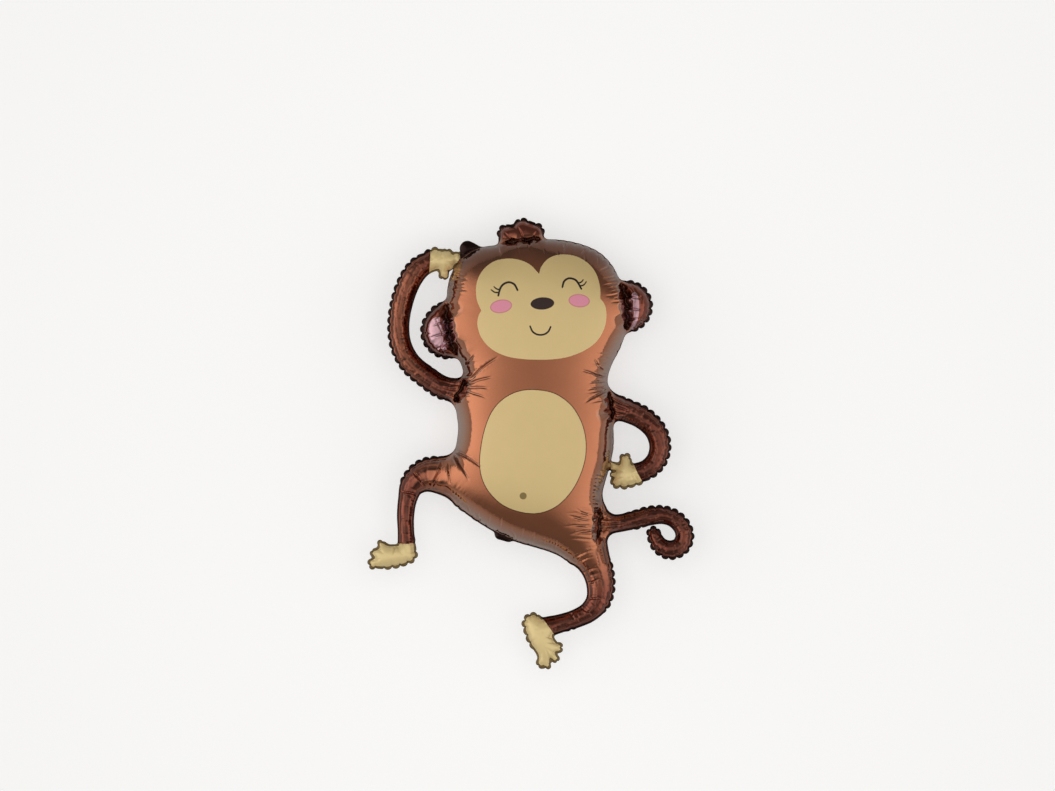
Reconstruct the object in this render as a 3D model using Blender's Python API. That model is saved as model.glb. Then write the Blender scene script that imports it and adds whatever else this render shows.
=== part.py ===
"""Monkey foil balloon, inflated and lying on its back.

Two sheets of metallised film are heat-sealed along one seam that runs round the head, tuft, ears, arms,
hands, torso, legs, feet and tail. The gas inside swells them into round tubes at the limbs and into a
fuller pillow at the head and torso. The sealed border outside the seam stays flat and is drawn into
scallops where the seam is convex. The balloon is one closed, gas-tight piece, so it is one solid.

+Z is up, the head points towards +Y and the face looks up. The origin is under the middle of the
bounding box, at the surface that the flattened back rests on.
"""
import math

import bmesh
import bpy
import numpy as np
from mathutils.geometry import delaunay_2d_cdt

# Driving sizes, in metres
HEIGHT = 0.780            # inflated, from the sole of the lower foot to the tuft
BORDER_WIDTH = 0.0035     # sealed border outside the seam
BORDER_THICKNESS = 0.0012
SCALLOP_PITCH = 0.0150    # along the border, from notch to notch
SCALLOP_DEPTH = 0.0026
FULLNESS_LIMIT = 0.120    # the film stops the wide head and torso from swelling past this half thickness
FLAT_DEPTH = 0.0070       # the weight settles the round back on a flat patch this deep

# How finely the film is divided, in metres
SEAM_STEP = 0.0104
RIM_RINGS = (0.0016, 0.0055, 0.0120)
FINE_STEP = 0.0116
COARSE_STEP = 0.0225
COARSE_DEPTH = 0.0330
CLOSEST_STEP = 0.0050

# The outline is read from a front view in which the balloon is OUTLINE_HEIGHT units tall, x to the
# right and y down, with (MIDDLE_X, MIDDLE_Y) at the middle of the bounding box. Every point and
# radius of the figure is a share of HEIGHT through UNIT.
OUTLINE_HEIGHT = 450.5
MIDDLE_X = 531.0
MIDDLE_Y = 443.5
UNIT = HEIGHT / OUTLINE_HEIGHT
GRID_STEP = 1.0           # units between the samples of the outline's distance field
GRID_MARGIN = 14.0
SPLINE_STEPS = 6
SMALLEST_HOLE = 8.0       # a gap narrower than this many units is welded shut

# Head and torso: one closed curve, clockwise from the top of the head
BODY = [
    (545, 239), (566, 240.5), (586, 245.5), (601.5, 253.5), (613, 266), (620.5, 281), (625, 296), (626.5, 313),
    (626.5, 330), (620.5, 348), (612, 365), (608, 380), (610, 397), (612.5, 415), (614, 433), (613.5, 450),
    (609.5, 468), (605, 484), (600.5, 502), (599.5, 520), (595, 545), (577, 561), (559, 554.5), (536, 547.5),
    (513, 540.5), (487, 527.5), (470, 513), (456, 500), (451, 470), (456.5, 445), (458.5, 428), (457, 414),
    (456, 400), (463.5, 385), (463, 369), (456, 352), (450, 333), (447.5, 312), (447.5, 292), (450.5, 277),
    (456.5, 265), (466, 255), (480, 247.5), (500, 244.5), (522, 240.5),
]

# Limbs: the tube's middle line with its half width, from the root to the wrist, ankle or tip
LIMBS = {
    "left_arm": [
        (480, 396, 13), (461, 391, 12.3), (444, 387.5, 11.6), (428, 377.5, 11.2), (411, 363, 10.8),
        (401.5, 345, 10.6), (399.2, 325, 10.6), (402.3, 303, 11), (409.3, 283, 11.2), (419, 268.5, 11.2),
        (432, 260.5, 10.3),
    ],
    "right_arm": [
        (598, 403, 15), (614, 406.5, 13), (628, 411, 11.7), (643, 418, 11.3), (655, 429.5, 10.8),
        (660.2, 444, 10.6), (657.5, 458.5, 10.3), (648.5, 468.5, 10), (636, 473.5, 10),
    ],
    "left_leg": [
        (485, 490, 28), (462, 479, 23.5), (441, 475, 19), (425.5, 475.5, 16.3), (413, 484.5, 12.4),
        (408, 499, 9.6), (406, 515, 8.7), (406.3, 530, 8.3), (407, 545, 9),
    ],
    "right_leg": [
        (575, 520, 33), (583.5, 540, 24), (592.5, 558, 17.8), (598.5, 572, 15.3), (601, 587, 13.9),
        (598.3, 601, 12.2), (589, 612, 10.4), (575, 619, 9.4), (560, 623.5, 9.4), (547, 627, 10.5),
    ],
    "tail": [
        (592, 522, 15), (608, 523.5, 10.5), (620, 523, 9), (635, 519.7, 9.3), (650, 516, 9.4), (663, 515, 9),
        (674, 518.5, 8.8), (682, 526.5, 8.8), (684.8, 536.5, 9), (680.5, 546, 9.2), (670.5, 549.6, 9.3),
        (660.5, 545.3, 8.3), (655, 536, 7), (654, 533, 6.4),
    ],
}
LIMB_WEB = 10.0

# Ears and hair tuft: short rounded lobes with a smaller web to the head
LOBES = {
    "left_ear": [(452, 328, 28), (449, 331, 27.5)],
    "right_ear": [(627, 306, 25.5), (626.5, 306.5, 25.8)],
    "left_lock": [(512, 245, 12), (507, 233.5, 9)],
    "middle_lock": [(523, 245, 12), (523, 229, 10.5)],
    "right_lock": [(530, 245, 12), (535.5, 232, 9)],
}
LOBE_WEB = 6.0

# Hands and feet: palms, fingers and toes, with a tight web
DIGITS = {
    "left_palm": [(433, 260, 10.8), (445, 260, 10)],
    "left_finger_1": [(437, 260, 6.5), (436.5, 254.3, 6.6)],
    "left_finger_2": [(447, 262, 6), (447.5, 255, 6.2)],
    "left_finger_3": [(450, 262, 5), (456.5, 256.5, 5)],
    "left_finger_4": [(443, 262, 6), (444.3, 274.3, 5)],
    "left_finger_5": [(446, 262, 5), (449, 266.5, 4)],
    "right_palm": [(636, 474.5, 10.5), (625, 477, 11.3)],
    "right_thumb": [(626, 471, 8), (625.8, 459.3, 5.9)],
    "right_finger_1": [(622, 469, 5), (613, 466.2, 4)],
    "right_finger_2": [(622, 474, 5), (614, 475, 3.8)],
    "right_finger_3": [(624, 478, 5), (617, 482, 5.6)],
    "left_foot": [(407.5, 553.5, 9.8), (397, 555.5, 11.5), (386, 556.5, 12.2)],
    "left_toe_1": [(388, 553, 7), (381.7, 544.3, 4)],
    "left_toe_2": [(386, 556, 7), (375.3, 553, 4.4)],
    "left_toe_3": [(385, 560, 7), (374.3, 563, 5.7)],
    "right_foot": [(533.5, 623.5, 10.5), (540, 636, 12.8), (546, 647, 11.5)],
    "right_toe_1": [(550, 646, 7), (557.5, 647.5, 5.6)],
    "right_toe_2": [(549, 650, 6), (555.5, 658.3, 4)],
    "right_toe_3": [(546, 652, 6), (547, 664.3, 4.4)],
    "right_toe_4": [(544, 652, 6), (541.5, 663, 4.4)],
}
DIGIT_WEB = 2.5

# Flat sealed film that doesn't swell: the end of the filling neck, the tab to hang the balloon by, and
# the welds where the hands touch the head and the torso
TABS = {
    "filling_neck": [(500, 534.5, 5), (509, 537, 5)],
    "hanging_tab": [(482, 255, 6), (475, 250.5, 6.4), (468, 248.5, 8)],
}
WELDS = {
    "left_hand": [(456, 257, 4), (468, 258.5, 4)],
    "right_hand": [(616, 466, 3.6), (604, 465, 3.8)],
}
TAB_FLAT_SHARE = 0.6      # the middle of a tab is flat out to this share of its radius
TAB_FLAT_CORNERS = 8


def clear_scene():
    """Remove the objects of the open scene."""
    for old in list(bpy.data.objects):
        bpy.data.objects.remove(old, do_unlink=True)


def smooth_path(points, closed):
    """Return a Catmull-Rom curve through the points, SPLINE_STEPS steps to a span."""
    knots = np.array(points, float)
    count = len(knots)
    if closed:
        padded = np.vstack([knots[-1], knots, knots[:2]])
        spans = count
    else:
        padded = np.vstack([2 * knots[0] - knots[1], knots, 2 * knots[-1] - knots[-2]])
        spans = count - 1
    t = (np.arange(SPLINE_STEPS) / SPLINE_STEPS)[:, None]
    runs = []
    for span in range(spans):
        a, b, c, d = padded[span:span + 4]
        runs.append(0.5 * (2 * b + (c - a) * t + (2 * a - 5 * b + 4 * c - d) * t ** 2
                           + (3 * b - a - 3 * c + d) * t ** 3))
    if not closed:
        runs.append(knots[-1:])
    return np.vstack(runs)


def distance_inside_curve(spots, curve):
    """Return the distance of each spot to a closed curve, negative inside it."""
    nearest = np.full(len(spots), np.inf)
    inside = np.zeros(len(spots), bool)
    for start, end in zip(curve, np.roll(curve, -1, axis=0)):
        along = end - start
        away = spots - start
        t = np.clip(away @ along / (along @ along), 0, 1)
        nearest = np.minimum(nearest, ((away - t[:, None] * along) ** 2).sum(1))
        crosses = (start[1] > spots[:, 1]) != (end[1] > spots[:, 1])
        if crosses.any():
            reach = start[0] + (spots[:, 1] - start[1]) * along[0] / along[1]
            inside ^= crosses & (spots[:, 0] < reach)
    return np.where(inside, -1, 1) * np.sqrt(nearest)


def distance_to_tube(spots, line):
    """Return the distance of each spot to a tube given by rows of x, y and half width."""
    nearest = np.full(len(spots), np.inf)
    for start, end in zip(line[:-1], line[1:]):
        along = end[:2] - start[:2]
        away = spots - start[:2]
        t = np.clip(away @ along / max(along @ along, 1e-9), 0, 1)
        gap = np.sqrt(((away - t[:, None] * along) ** 2).sum(1))
        nearest = np.minimum(nearest, gap - start[2] - t * (end[2] - start[2]))
    return nearest


def blend(first, second, web):
    """Join two distance fields with a fillet of about this width where they meet."""
    overlap = np.maximum(web - np.abs(first - second), 0) / web
    return np.minimum(first, second) - overlap ** 2 * web / 4


def outline_fields():
    """Sample the distance to the edge of the film on an even grid, in units.

    Returns one field of the film that swells and one of all the film, with the flat tabs and welds.
    """
    parts = {**LIMBS, **LOBES, **DIGITS, **TABS}
    corners = np.array([(x, y) for line in parts.values() for x, y, r in line] + BODY)
    low = corners.min(0) - GRID_MARGIN
    high = corners.max(0) + GRID_MARGIN
    xs = np.arange(low[0], high[0], GRID_STEP)
    ys = np.arange(low[1], high[1], GRID_STEP)
    spots = np.stack([axis.ravel() for axis in np.meshgrid(xs, ys)], 1)
    field = distance_inside_curve(spots, smooth_path(BODY, True))
    fields = []
    for layer in (((LIMBS, LIMB_WEB), (LOBES, LOBE_WEB), (DIGITS, DIGIT_WEB)), ((TABS, DIGIT_WEB), (WELDS, DIGIT_WEB))):
        for group, web in layer:
            for points in group.values():
                line = smooth_path(points, False)
                reach = line[:, 2].max() + 2 * LIMB_WEB
                near = (spots > line[:, :2].min(0) - reach) & (spots < line[:, :2].max(0) + reach)
                near = near.all(1)
                field[near] = blend(field[near], distance_to_tube(spots[near], line), web)
        fields.append((xs, ys, field.reshape(len(ys), len(xs)).copy()))
    return fields


def sample(grid, spots):
    """Read the field between its grid points."""
    xs, ys, field = grid
    u = np.clip((spots[:, 0] - xs[0]) / GRID_STEP, 0, len(xs) - 1.001)
    v = np.clip((spots[:, 1] - ys[0]) / GRID_STEP, 0, len(ys) - 1.001)
    i = u.astype(int)
    j = v.astype(int)
    s = u - i
    t = v - j
    lower = field[j, i] * (1 - s) + field[j, i + 1] * s
    upper = field[j + 1, i] * (1 - s) + field[j + 1, i + 1] * s
    return lower * (1 - t) + upper * t


def level_loops(grid, level):
    """Trace the closed loops where the field has this level, the film always on their left."""
    xs, ys, field = grid
    rows, columns = field.shape
    index = np.arange(rows * columns).reshape(rows, columns)
    a, b = index[:-1, :-1].ravel(), index[:-1, 1:].ravel()
    c, d = index[1:, 1:].ravel(), index[1:, :-1].ravel()
    triangles = np.vstack([np.stack([a, b, c], 1), np.stack([a, c, d], 1)])
    value = field.ravel() - level
    above = value[triangles] > 0
    crossed = triangles[above.any(1) & ~above.all(1)]
    links = {}
    for p, q, r in crossed.tolist():
        ends = [(min(e), max(e)) for e in ((p, q), (q, r), (r, p)) if (value[e[0]] > 0) != (value[e[1]] > 0)]
        links.setdefault(ends[0], []).append(ends[1])
        links.setdefault(ends[1], []).append(ends[0])
    loops = []
    while links:
        key = next(iter(links))
        chain = []
        while key is not None:
            p, q = key
            t = value[p] / (value[p] - value[q])
            spot = [(1 - t) * xs[p % columns] + t * xs[q % columns], (1 - t) * ys[p // columns] + t * ys[q // columns]]
            chain.append(spot)
            key = next((other for other in links.pop(key) if other in links), None)
        loop = np.array(chain)
        forward = np.roll(loop, -1, axis=0) - loop
        left = loop + 0.3 * np.stack([forward[:, 1], -forward[:, 0]], 1)
        if np.mean(sample(grid, left) - level) > 0:
            loop = loop[::-1]
        if np.ptp(loop, axis=0).max() > SMALLEST_HOLE:
            loops.append(loop)
    return loops


def even_loop(loop, step):
    """Smooth a closed loop lightly and divide it into equal steps of about this length."""
    for _ in range(3):
        loop = 0.5 * loop + 0.25 * (np.roll(loop, 1, axis=0) + np.roll(loop, -1, axis=0))
    closed = np.vstack([loop, loop[:1]])
    length = np.concatenate([[0], np.cumsum(np.linalg.norm(np.diff(closed, axis=0), axis=1))])
    count = max(8, round(length[-1] / step))
    places = np.arange(count) * length[-1] / count
    return np.stack([np.interp(places, length, closed[:, axis]) for axis in (0, 1)], 1)


def outward(loop):
    """Return the unit vectors that point away from the film along a loop with the film on its left."""
    tangent = np.roll(loop, -1, axis=0) - np.roll(loop, 1, axis=0)
    tangent /= np.linalg.norm(tangent, axis=1)[:, None]
    return np.stack([-tangent[:, 1], tangent[:, 0]], 1)


def convexity(loop, reach):
    """Return 1 where the loop bulges outwards over this many points, and 0 where it is hollow."""
    bulge = ((loop - 0.5 * (np.roll(loop, reach, axis=0) + np.roll(loop, -reach, axis=0))) * outward(loop)).sum(1)
    span = np.linalg.norm(np.roll(loop, reach, axis=0) - np.roll(loop, -reach, axis=0), axis=1)
    raised = np.clip(bulge / span * 14, 0, 1)
    for _ in range(4):
        raised = 0.5 * raised + 0.25 * (np.roll(raised, 1) + np.roll(raised, -1))
    return raised


def scalloped(loop):
    """Draw the cut edge into round tabs with a notch between them where it is convex."""
    step = np.linalg.norm(np.roll(loop, -1, axis=0) - loop, axis=1).mean()
    pitch = SCALLOP_PITCH / UNIT
    tabs = max(1, round(step * len(loop) / pitch))
    phase = np.arange(len(loop)) * tabs / len(loop)
    wave = np.sqrt(np.abs(np.sin(math.pi * phase))) - 0.75
    reach = max(1, round(0.8 * pitch / step))
    push = SCALLOP_DEPTH / UNIT * wave * convexity(loop, reach)
    return loop + push[:, None] * outward(loop)


def film_points(grid, seams):
    """Spread points over the film inside the seam: two rings along it, then an even triangular net."""
    border = BORDER_WIDTH / UNIT
    points = []
    for depth in RIM_RINGS:
        inset = depth / UNIT
        for seam in seams:
            ring = seam - inset * outward(seam)
            points.append(ring[sample(grid, ring) < -border - 0.85 * inset])
    xs, ys, field = grid
    last_ring = border + RIM_RINGS[-1] / UNIT
    for step, nearest, farthest in (
        (FINE_STEP / UNIT, last_ring + 0.45 * FINE_STEP / UNIT, COARSE_DEPTH / UNIT),
        (COARSE_STEP / UNIT, (COARSE_DEPTH + 0.35 * COARSE_STEP) / UNIT, np.inf),
    ):
        rows = np.arange(ys[0], ys[-1], step * math.sqrt(3) / 2)
        net = np.array([
            (x, y) for number, y in enumerate(rows) for x in np.arange(xs[0] + (number % 2) * step / 2, xs[-1], step)
        ])
        depth = -sample(grid, net)
        points.append(net[(depth > nearest) & (depth < farthest)])
    return thinned(np.vstack(points), CLOSEST_STEP / UNIT)


def thinned(points, spacing):
    """Drop each point that is closer than this to one before it."""
    kept = []
    cells = {}
    for x, y in points.tolist():
        column = math.floor(x / spacing)
        row = math.floor(y / spacing)
        near = (cells.get((i, j)) for i in range(column - 1, column + 2) for j in range(row - 1, row + 2))
        if all(other is None or math.dist(other, (x, y)) > spacing for other in near):
            cells[column, row] = (x, y)
            kept.append((x, y))
    return np.array(kept)


def tab_points():
    """Return the corners of the flat middle of each tab."""
    turns = 2 * math.pi * np.arange(TAB_FLAT_CORNERS) / TAB_FLAT_CORNERS
    ring = np.stack([np.cos(turns), np.sin(turns)], 1)
    return np.vstack([
        np.array(points[-1][:2]) + TAB_FLAT_SHARE * points[-1][2] * ring for points in TABS.values()
    ])


def triangulate(edges, seams, flat, inner):
    """Divide the flat film into triangles, and tell the swelling film from the sealed border.

    A triangle with all its corners on the cut edge would have no thickness, so it is left out.
    Returns the corners, the triangles inside the seam, the triangles of the border, and for each corner
    0 on the cut edge, 1 on the seam or on a tab, and 2 inside.
    """
    spots = []
    faces = []
    kind = []
    for group, mark in ((edges, 0), (seams, 1)):
        for loop in group:
            turn = loop if np.cross(loop, np.roll(loop, -1, axis=0)).sum() > 0 else loop[::-1]
            faces.append([len(spots) + k for k in range(len(turn))])
            spots.extend(turn.tolist())
            kind.extend([mark] * len(turn))
    for points, mark in ((flat, 1), (inner, 2)):
        spots.extend(points.tolist())
        kind.extend([mark] * len(points))
    result = delaunay_2d_cdt(spots, [], faces, 0, 1e-5)
    corners = np.array([tuple(corner) for corner in result[0]])
    marks = np.array([min((kind[k] for k in source), default=2) for source in result[3]])
    film = []
    border = []
    for triangle, inside in zip(result[2], result[5]):
        in_cut = sum(face < len(edges) for face in inside) % 2
        in_seam = sum(face >= len(edges) for face in inside) % 2
        flap = all(marks[k] == 0 for k in triangle)
        if in_seam:
            film.append(triangle)
        elif in_cut and not flap:
            border.append(triangle)
    return corners, np.array(film), np.array(border), marks


def swell(corners, film, marks):
    """Return the half thickness at each corner.

    The gas lifts the film as a soap skin over the seam: the skin's Poisson height u gives a round tube
    of half thickness sqrt(2u) on a straight limb. Over the wide head and torso the film, which does not
    stretch, holds it under FULLNESS_LIMIT.
    """
    size = len(corners)
    stiffness = np.zeros((size, size))
    load = np.zeros(size)
    for k in range(3):
        tip, left, right = film[:, k], film[:, (k + 1) % 3], film[:, (k + 2) % 3]
        to_left = corners[left] - corners[tip]
        to_right = corners[right] - corners[tip]
        twice_area = np.abs(to_left[:, 0] * to_right[:, 1] - to_left[:, 1] * to_right[:, 0])
        weight = 0.5 * (to_left * to_right).sum(1) / twice_area
        np.add.at(stiffness, (left, right), -weight)
        np.add.at(stiffness, (right, left), -weight)
        np.add.at(stiffness, (left, left), weight)
        np.add.at(stiffness, (right, right), weight)
        np.add.at(load, tip, twice_area / 6)
    free = np.flatnonzero(marks == 2)
    height = np.zeros(size)
    height[free] = np.sqrt(2 * np.maximum(np.linalg.solve(stiffness[np.ix_(free, free)], load[free]), 0))
    return height / (1 + (height / FULLNESS_LIMIT) ** 3) ** (1 / 3)


def balloon_body(corners, film, border, marks, height):
    """Close the front and back film into one body, joined along the cut edge."""
    body = bmesh.new()
    half_border = BORDER_THICKNESS / 2
    lift = np.where(marks == 2, np.maximum(height, half_border), half_border)
    lift[marks == 0] = 0
    front = [body.verts.new((x, y, z)) for (x, y), z in zip(corners, lift)]
    back = [
        front[k] if marks[k] == 0 else body.verts.new((corners[k][0], corners[k][1], -lift[k]))
        for k in range(len(corners))
    ]
    for a, b, c in np.vstack([film, border]).tolist():
        body.faces.new((front[a], front[b], front[c]))
        body.faces.new((back[c], back[b], back[a]))
    loose = [vert for vert in body.verts if not vert.link_faces]
    bmesh.ops.delete(body, geom=loose, context="VERTS")
    bmesh.ops.recalc_face_normals(body, faces=body.faces)
    return body


def settle_on_back(body):
    """Cut the small flat patch that the balloon rests on, and put it on the ground under the middle."""
    floor = min(vert.co.z for vert in body.verts) + FLAT_DEPTH
    parts = body.verts[:] + body.edges[:] + body.faces[:]
    cut = bmesh.ops.bisect_plane(
        body, geom=parts, dist=1e-7, plane_co=(0, 0, floor), plane_no=(0, 0, -1), clear_outer=True,
    )
    rim = [item for item in cut["geom_cut"] if isinstance(item, bmesh.types.BMEdge)]
    bmesh.ops.holes_fill(body, edges=rim, sides=0)
    bmesh.ops.triangulate(body, faces=[face for face in body.faces if len(face.verts) > 3])
    bmesh.ops.dissolve_degenerate(body, edges=body.edges, dist=1e-6)
    bmesh.ops.triangulate(body, faces=[face for face in body.faces if len(face.verts) > 3])
    bmesh.ops.recalc_face_normals(body, faces=body.faces)
    across = [vert.co.x for vert in body.verts]
    along = [vert.co.y for vert in body.verts]
    shift = (-(min(across) + max(across)) / 2, -(min(along) + max(along)) / 2, -floor)
    bmesh.ops.translate(body, vec=shift, verts=body.verts)


def foil_material():
    """Return the copper-brown metallised film."""
    material = bpy.data.materials.new("copper_brown_metallised_film")
    material.use_nodes = True
    shader = material.node_tree.nodes["Principled BSDF"]
    shader.inputs["Base Color"].default_value = (0.33, 0.12, 0.065, 1)
    shader.inputs["Metallic"].default_value = 0.85
    shader.inputs["Roughness"].default_value = 0.3
    return material


def make_balloon():
    """Draw the outline, swell the film inside the seam and add the balloon to the scene."""
    swelling, whole = outline_fields()
    half_step = 0.5 * SEAM_STEP / UNIT
    cut_edges = [scalloped(even_loop(loop, half_step)) for loop in level_loops(whole, 0)]
    seams = [even_loop(loop, 2 * half_step) for loop in level_loops(swelling, -BORDER_WIDTH / UNIT)]
    inner = film_points(swelling, seams)
    flat = tab_points()
    flat = flat[sample(swelling, flat) > -0.5 * BORDER_WIDTH / UNIT]
    corners, film, border, marks = triangulate(cut_edges, seams, flat, inner)
    metres = (corners - (MIDDLE_X, MIDDLE_Y)) * (UNIT, -UNIT)
    height = swell(metres, film, marks)
    body = balloon_body(metres, film, border, marks, height)
    settle_on_back(body)
    mesh = bpy.data.meshes.new("foil_balloon")
    body.to_mesh(mesh)
    body.free()
    mesh.materials.append(foil_material())
    mesh.shade_smooth()
    balloon = bpy.data.objects.new("foil_balloon", mesh)
    bpy.context.scene.collection.objects.link(balloon)
    return balloon


def main():
    """Build the balloon in an empty scene."""
    clear_scene()
    make_balloon()


if __name__ == "__main__":
    main()
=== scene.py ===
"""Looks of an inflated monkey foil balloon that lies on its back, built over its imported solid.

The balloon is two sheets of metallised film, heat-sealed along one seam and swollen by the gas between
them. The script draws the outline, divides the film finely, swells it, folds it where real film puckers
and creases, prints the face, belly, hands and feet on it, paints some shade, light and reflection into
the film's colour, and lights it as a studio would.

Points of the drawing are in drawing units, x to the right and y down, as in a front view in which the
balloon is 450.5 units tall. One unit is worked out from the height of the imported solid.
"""
from __future__ import annotations

import logging
import math
from dataclasses import dataclass, field
from enum import Enum

import bmesh
import bpy
import numpy as np
from bpy.types import ID, Material, Node, NodeSocket, NodeTree, Object
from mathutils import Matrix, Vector
from mathutils.geometry import delaunay_2d_cdt
from mathutils.kdtree import KDTree


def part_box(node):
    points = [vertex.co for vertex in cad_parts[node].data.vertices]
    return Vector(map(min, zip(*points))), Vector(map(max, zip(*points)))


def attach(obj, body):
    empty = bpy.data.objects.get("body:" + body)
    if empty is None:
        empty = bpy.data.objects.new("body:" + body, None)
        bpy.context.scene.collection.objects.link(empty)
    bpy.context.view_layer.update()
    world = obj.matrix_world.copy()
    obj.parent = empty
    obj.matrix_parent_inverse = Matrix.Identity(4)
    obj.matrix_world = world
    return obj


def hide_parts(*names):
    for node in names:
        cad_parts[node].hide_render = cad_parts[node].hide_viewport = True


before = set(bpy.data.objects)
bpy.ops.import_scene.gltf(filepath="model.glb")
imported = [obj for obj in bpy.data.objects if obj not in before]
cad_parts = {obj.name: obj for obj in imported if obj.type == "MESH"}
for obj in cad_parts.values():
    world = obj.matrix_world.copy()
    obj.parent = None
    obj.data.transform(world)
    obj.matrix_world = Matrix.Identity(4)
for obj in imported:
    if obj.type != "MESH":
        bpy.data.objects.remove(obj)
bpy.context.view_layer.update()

log = logging.getLogger("foil_balloon")

NODE = "foil_balloon"

Points = list[tuple[float, ...]]
Array = np.ndarray

# Head and torso: one closed curve, clockwise from the top of the head
BODY: Points = [
    (545, 239), (566, 240.5), (586, 245.5), (601.5, 253.5), (613, 266), (620.5, 281), (625, 296),
    (626.5, 313), (626.5, 330), (620.5, 348), (612, 365), (608, 380), (610, 397), (612.5, 415),
    (614, 433), (613.5, 450), (609.5, 468), (605, 484), (600.5, 502), (599.5, 520), (595, 545),
    (577, 561), (559, 554.5), (536, 547.5), (513, 540.5), (487, 527.5), (470, 513), (456, 500),
    (451, 470), (456.5, 445), (458.5, 428), (457, 414), (456, 400), (463.5, 385), (463, 369), (456, 352),
    (450, 333), (447.5, 312), (447.5, 292), (450.5, 277), (456.5, 265), (466, 255), (480, 247.5),
    (500, 244.5), (522, 240.5),
]

# Limbs: the tube's middle line with its half width, from the root to the wrist, ankle or tip
LIMBS: dict[str, Points] = {
    "left_arm": [
        (480, 396, 13), (461, 391, 12.3), (444, 387.5, 11.6), (428, 377.5, 11.2), (411, 363, 10.8),
        (401.5, 345, 10.6), (399.2, 325, 10.6), (402.3, 303, 11), (409.3, 283, 11.2), (419, 268.5, 11.2),
        (432, 260.5, 10.3),
    ],
    "right_arm": [
        (598, 403, 15), (614, 406.5, 13), (628, 411, 11.7), (643, 418, 11.3), (655, 429.5, 10.8),
        (660.2, 444, 10.6), (657.5, 458.5, 10.3), (648.5, 468.5, 10), (636, 473.5, 10),
    ],
    "left_leg": [
        (485, 490, 28), (462, 479, 23.5), (441, 475, 19), (425.5, 475.5, 16.3), (413, 484.5, 12.4),
        (408, 499, 9.6), (406, 515, 8.7), (406.3, 530, 8.3), (407, 545, 9),
    ],
    "right_leg": [
        (575, 520, 33), (583.5, 540, 24), (592.5, 558, 17.8), (598.5, 572, 15.3), (601, 587, 13.9),
        (598.3, 601, 12.2), (589, 612, 10.4), (575, 619, 9.4), (560, 623.5, 9.4), (547, 627, 10.5),
    ],
    "tail": [
        (592, 522, 15), (608, 523.5, 10.5), (620, 523, 9), (635, 519.7, 9.3), (650, 516, 9.4), (663, 515, 9),
        (674, 518.5, 8.8), (682, 526.5, 8.8), (684.8, 536.5, 9), (680.5, 546, 9.2), (670.5, 549.6, 9.3),
        (660.5, 545.3, 8.3), (655, 536, 7), (654, 533, 6.4),
    ],
}
LOBES: dict[str, Points] = {
    "left_ear": [(452, 328, 28), (449, 331, 27.5)],
    "right_ear": [(627, 306, 25.5), (626.5, 306.5, 25.8)],
    "left_lock": [(512, 245, 12), (507, 233.5, 9)],
    "middle_lock": [(523, 245, 12), (523, 229, 10.5)],
    "right_lock": [(530, 245, 12), (535.5, 232, 9)],
}
DIGITS: dict[str, Points] = {
    "left_palm": [(433, 260, 10.8), (445, 260, 10)],
    "left_finger_1": [(437, 260, 6.5), (436.5, 254.3, 6.6)],
    "left_finger_2": [(447, 262, 6), (447.5, 255, 6.2)],
    "left_finger_3": [(450, 262, 5), (456.5, 256.5, 5)],
    "left_finger_4": [(443, 262, 6), (444.3, 274.3, 5)],
    "left_finger_5": [(446, 262, 5), (449, 266.5, 4)],
    "right_palm": [(636, 474.5, 10.5), (625, 477, 11.3)],
    "right_thumb": [(626, 471, 8), (625.8, 459.3, 5.9)],
    "right_finger_1": [(622, 469, 5), (613, 466.2, 4)],
    "right_finger_2": [(622, 474, 5), (614, 475, 3.8)],
    "right_finger_3": [(624, 478, 5), (617, 482, 5.6)],
    "left_foot": [(407.5, 553.5, 9.8), (397, 555.5, 11.5), (386, 556.5, 12.2)],
    "left_toe_1": [(388, 553, 7), (381.7, 544.3, 4)],
    "left_toe_2": [(386, 556, 7), (375.3, 553, 4.4)],
    "left_toe_3": [(385, 560, 7), (374.3, 563, 5.7)],
    "right_foot": [(533.5, 623.5, 10.5), (540, 636, 12.8), (546, 647, 11.5)],
    "right_toe_1": [(550, 646, 7), (557.5, 647.5, 5.6)],
    "right_toe_2": [(549, 650, 6), (555.5, 658.3, 4)],
    "right_toe_3": [(546, 652, 6), (547, 664.3, 4.4)],
    "right_toe_4": [(544, 652, 6), (541.5, 663, 4.4)],
}
TABS: dict[str, Points] = {
    "filling_neck": [(500, 534.5, 5), (509, 537, 5)],
    "hanging_tab": [(482, 255, 6), (475, 250.5, 6.4), (468, 248.5, 8)],
}
WELDS: dict[str, Points] = {
    "left_hand": [(456, 257, 4), (468, 258.5, 4)],
    "right_hand": [(616, 466, 3.6), (604, 465, 3.8)],
}

# The printed face: two brow lobes and a muzzle, each an open curve, with a sharp corner where they meet
FACE_RUNS: list[Points] = [
    [(539.3, 275), (541.5, 268), (547.5, 260.5), (556, 256.3), (566, 255.3), (577, 257.5), (588, 264),
     (596, 274.5), (599.8, 288), (600, 299.3)],
    [(600, 299.3), (604.8, 306.5), (606.1, 317.7), (603.5, 330), (596.5, 341.6), (585, 350.4), (570, 356.6),
     (555, 359.4), (539, 360), (522, 359.2), (506, 356.2), (492, 349.1), (482.5, 338.5), (478.4, 326.3),
     (479.2, 317.5), (482.1, 311.3)],
    [(482.1, 311.3), (477.8, 301), (476.9, 288.5), (479.5, 278), (486, 268.5), (496, 261.8), (508, 259.6),
     (520.5, 261.2), (531, 266.3), (539.3, 275)],
]
BELLY: Points = [
    (533.3, 389.9), (517.2, 392.1), (503.5, 399.5), (493, 411.3), (486.2, 427.6), (482.3, 445.3),
    (480.8, 463), (483.3, 477.8), (490.2, 491), (502.5, 502.9), (518.2, 509.8), (535.6, 511.9),
    (550.7, 507.9), (563.5, 499), (574.9, 484.2), (582.7, 466), (585.6, 449.3), (584.2, 432.5),
    (578.8, 417.2), (569, 403.4), (553.2, 393.1),
]

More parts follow.
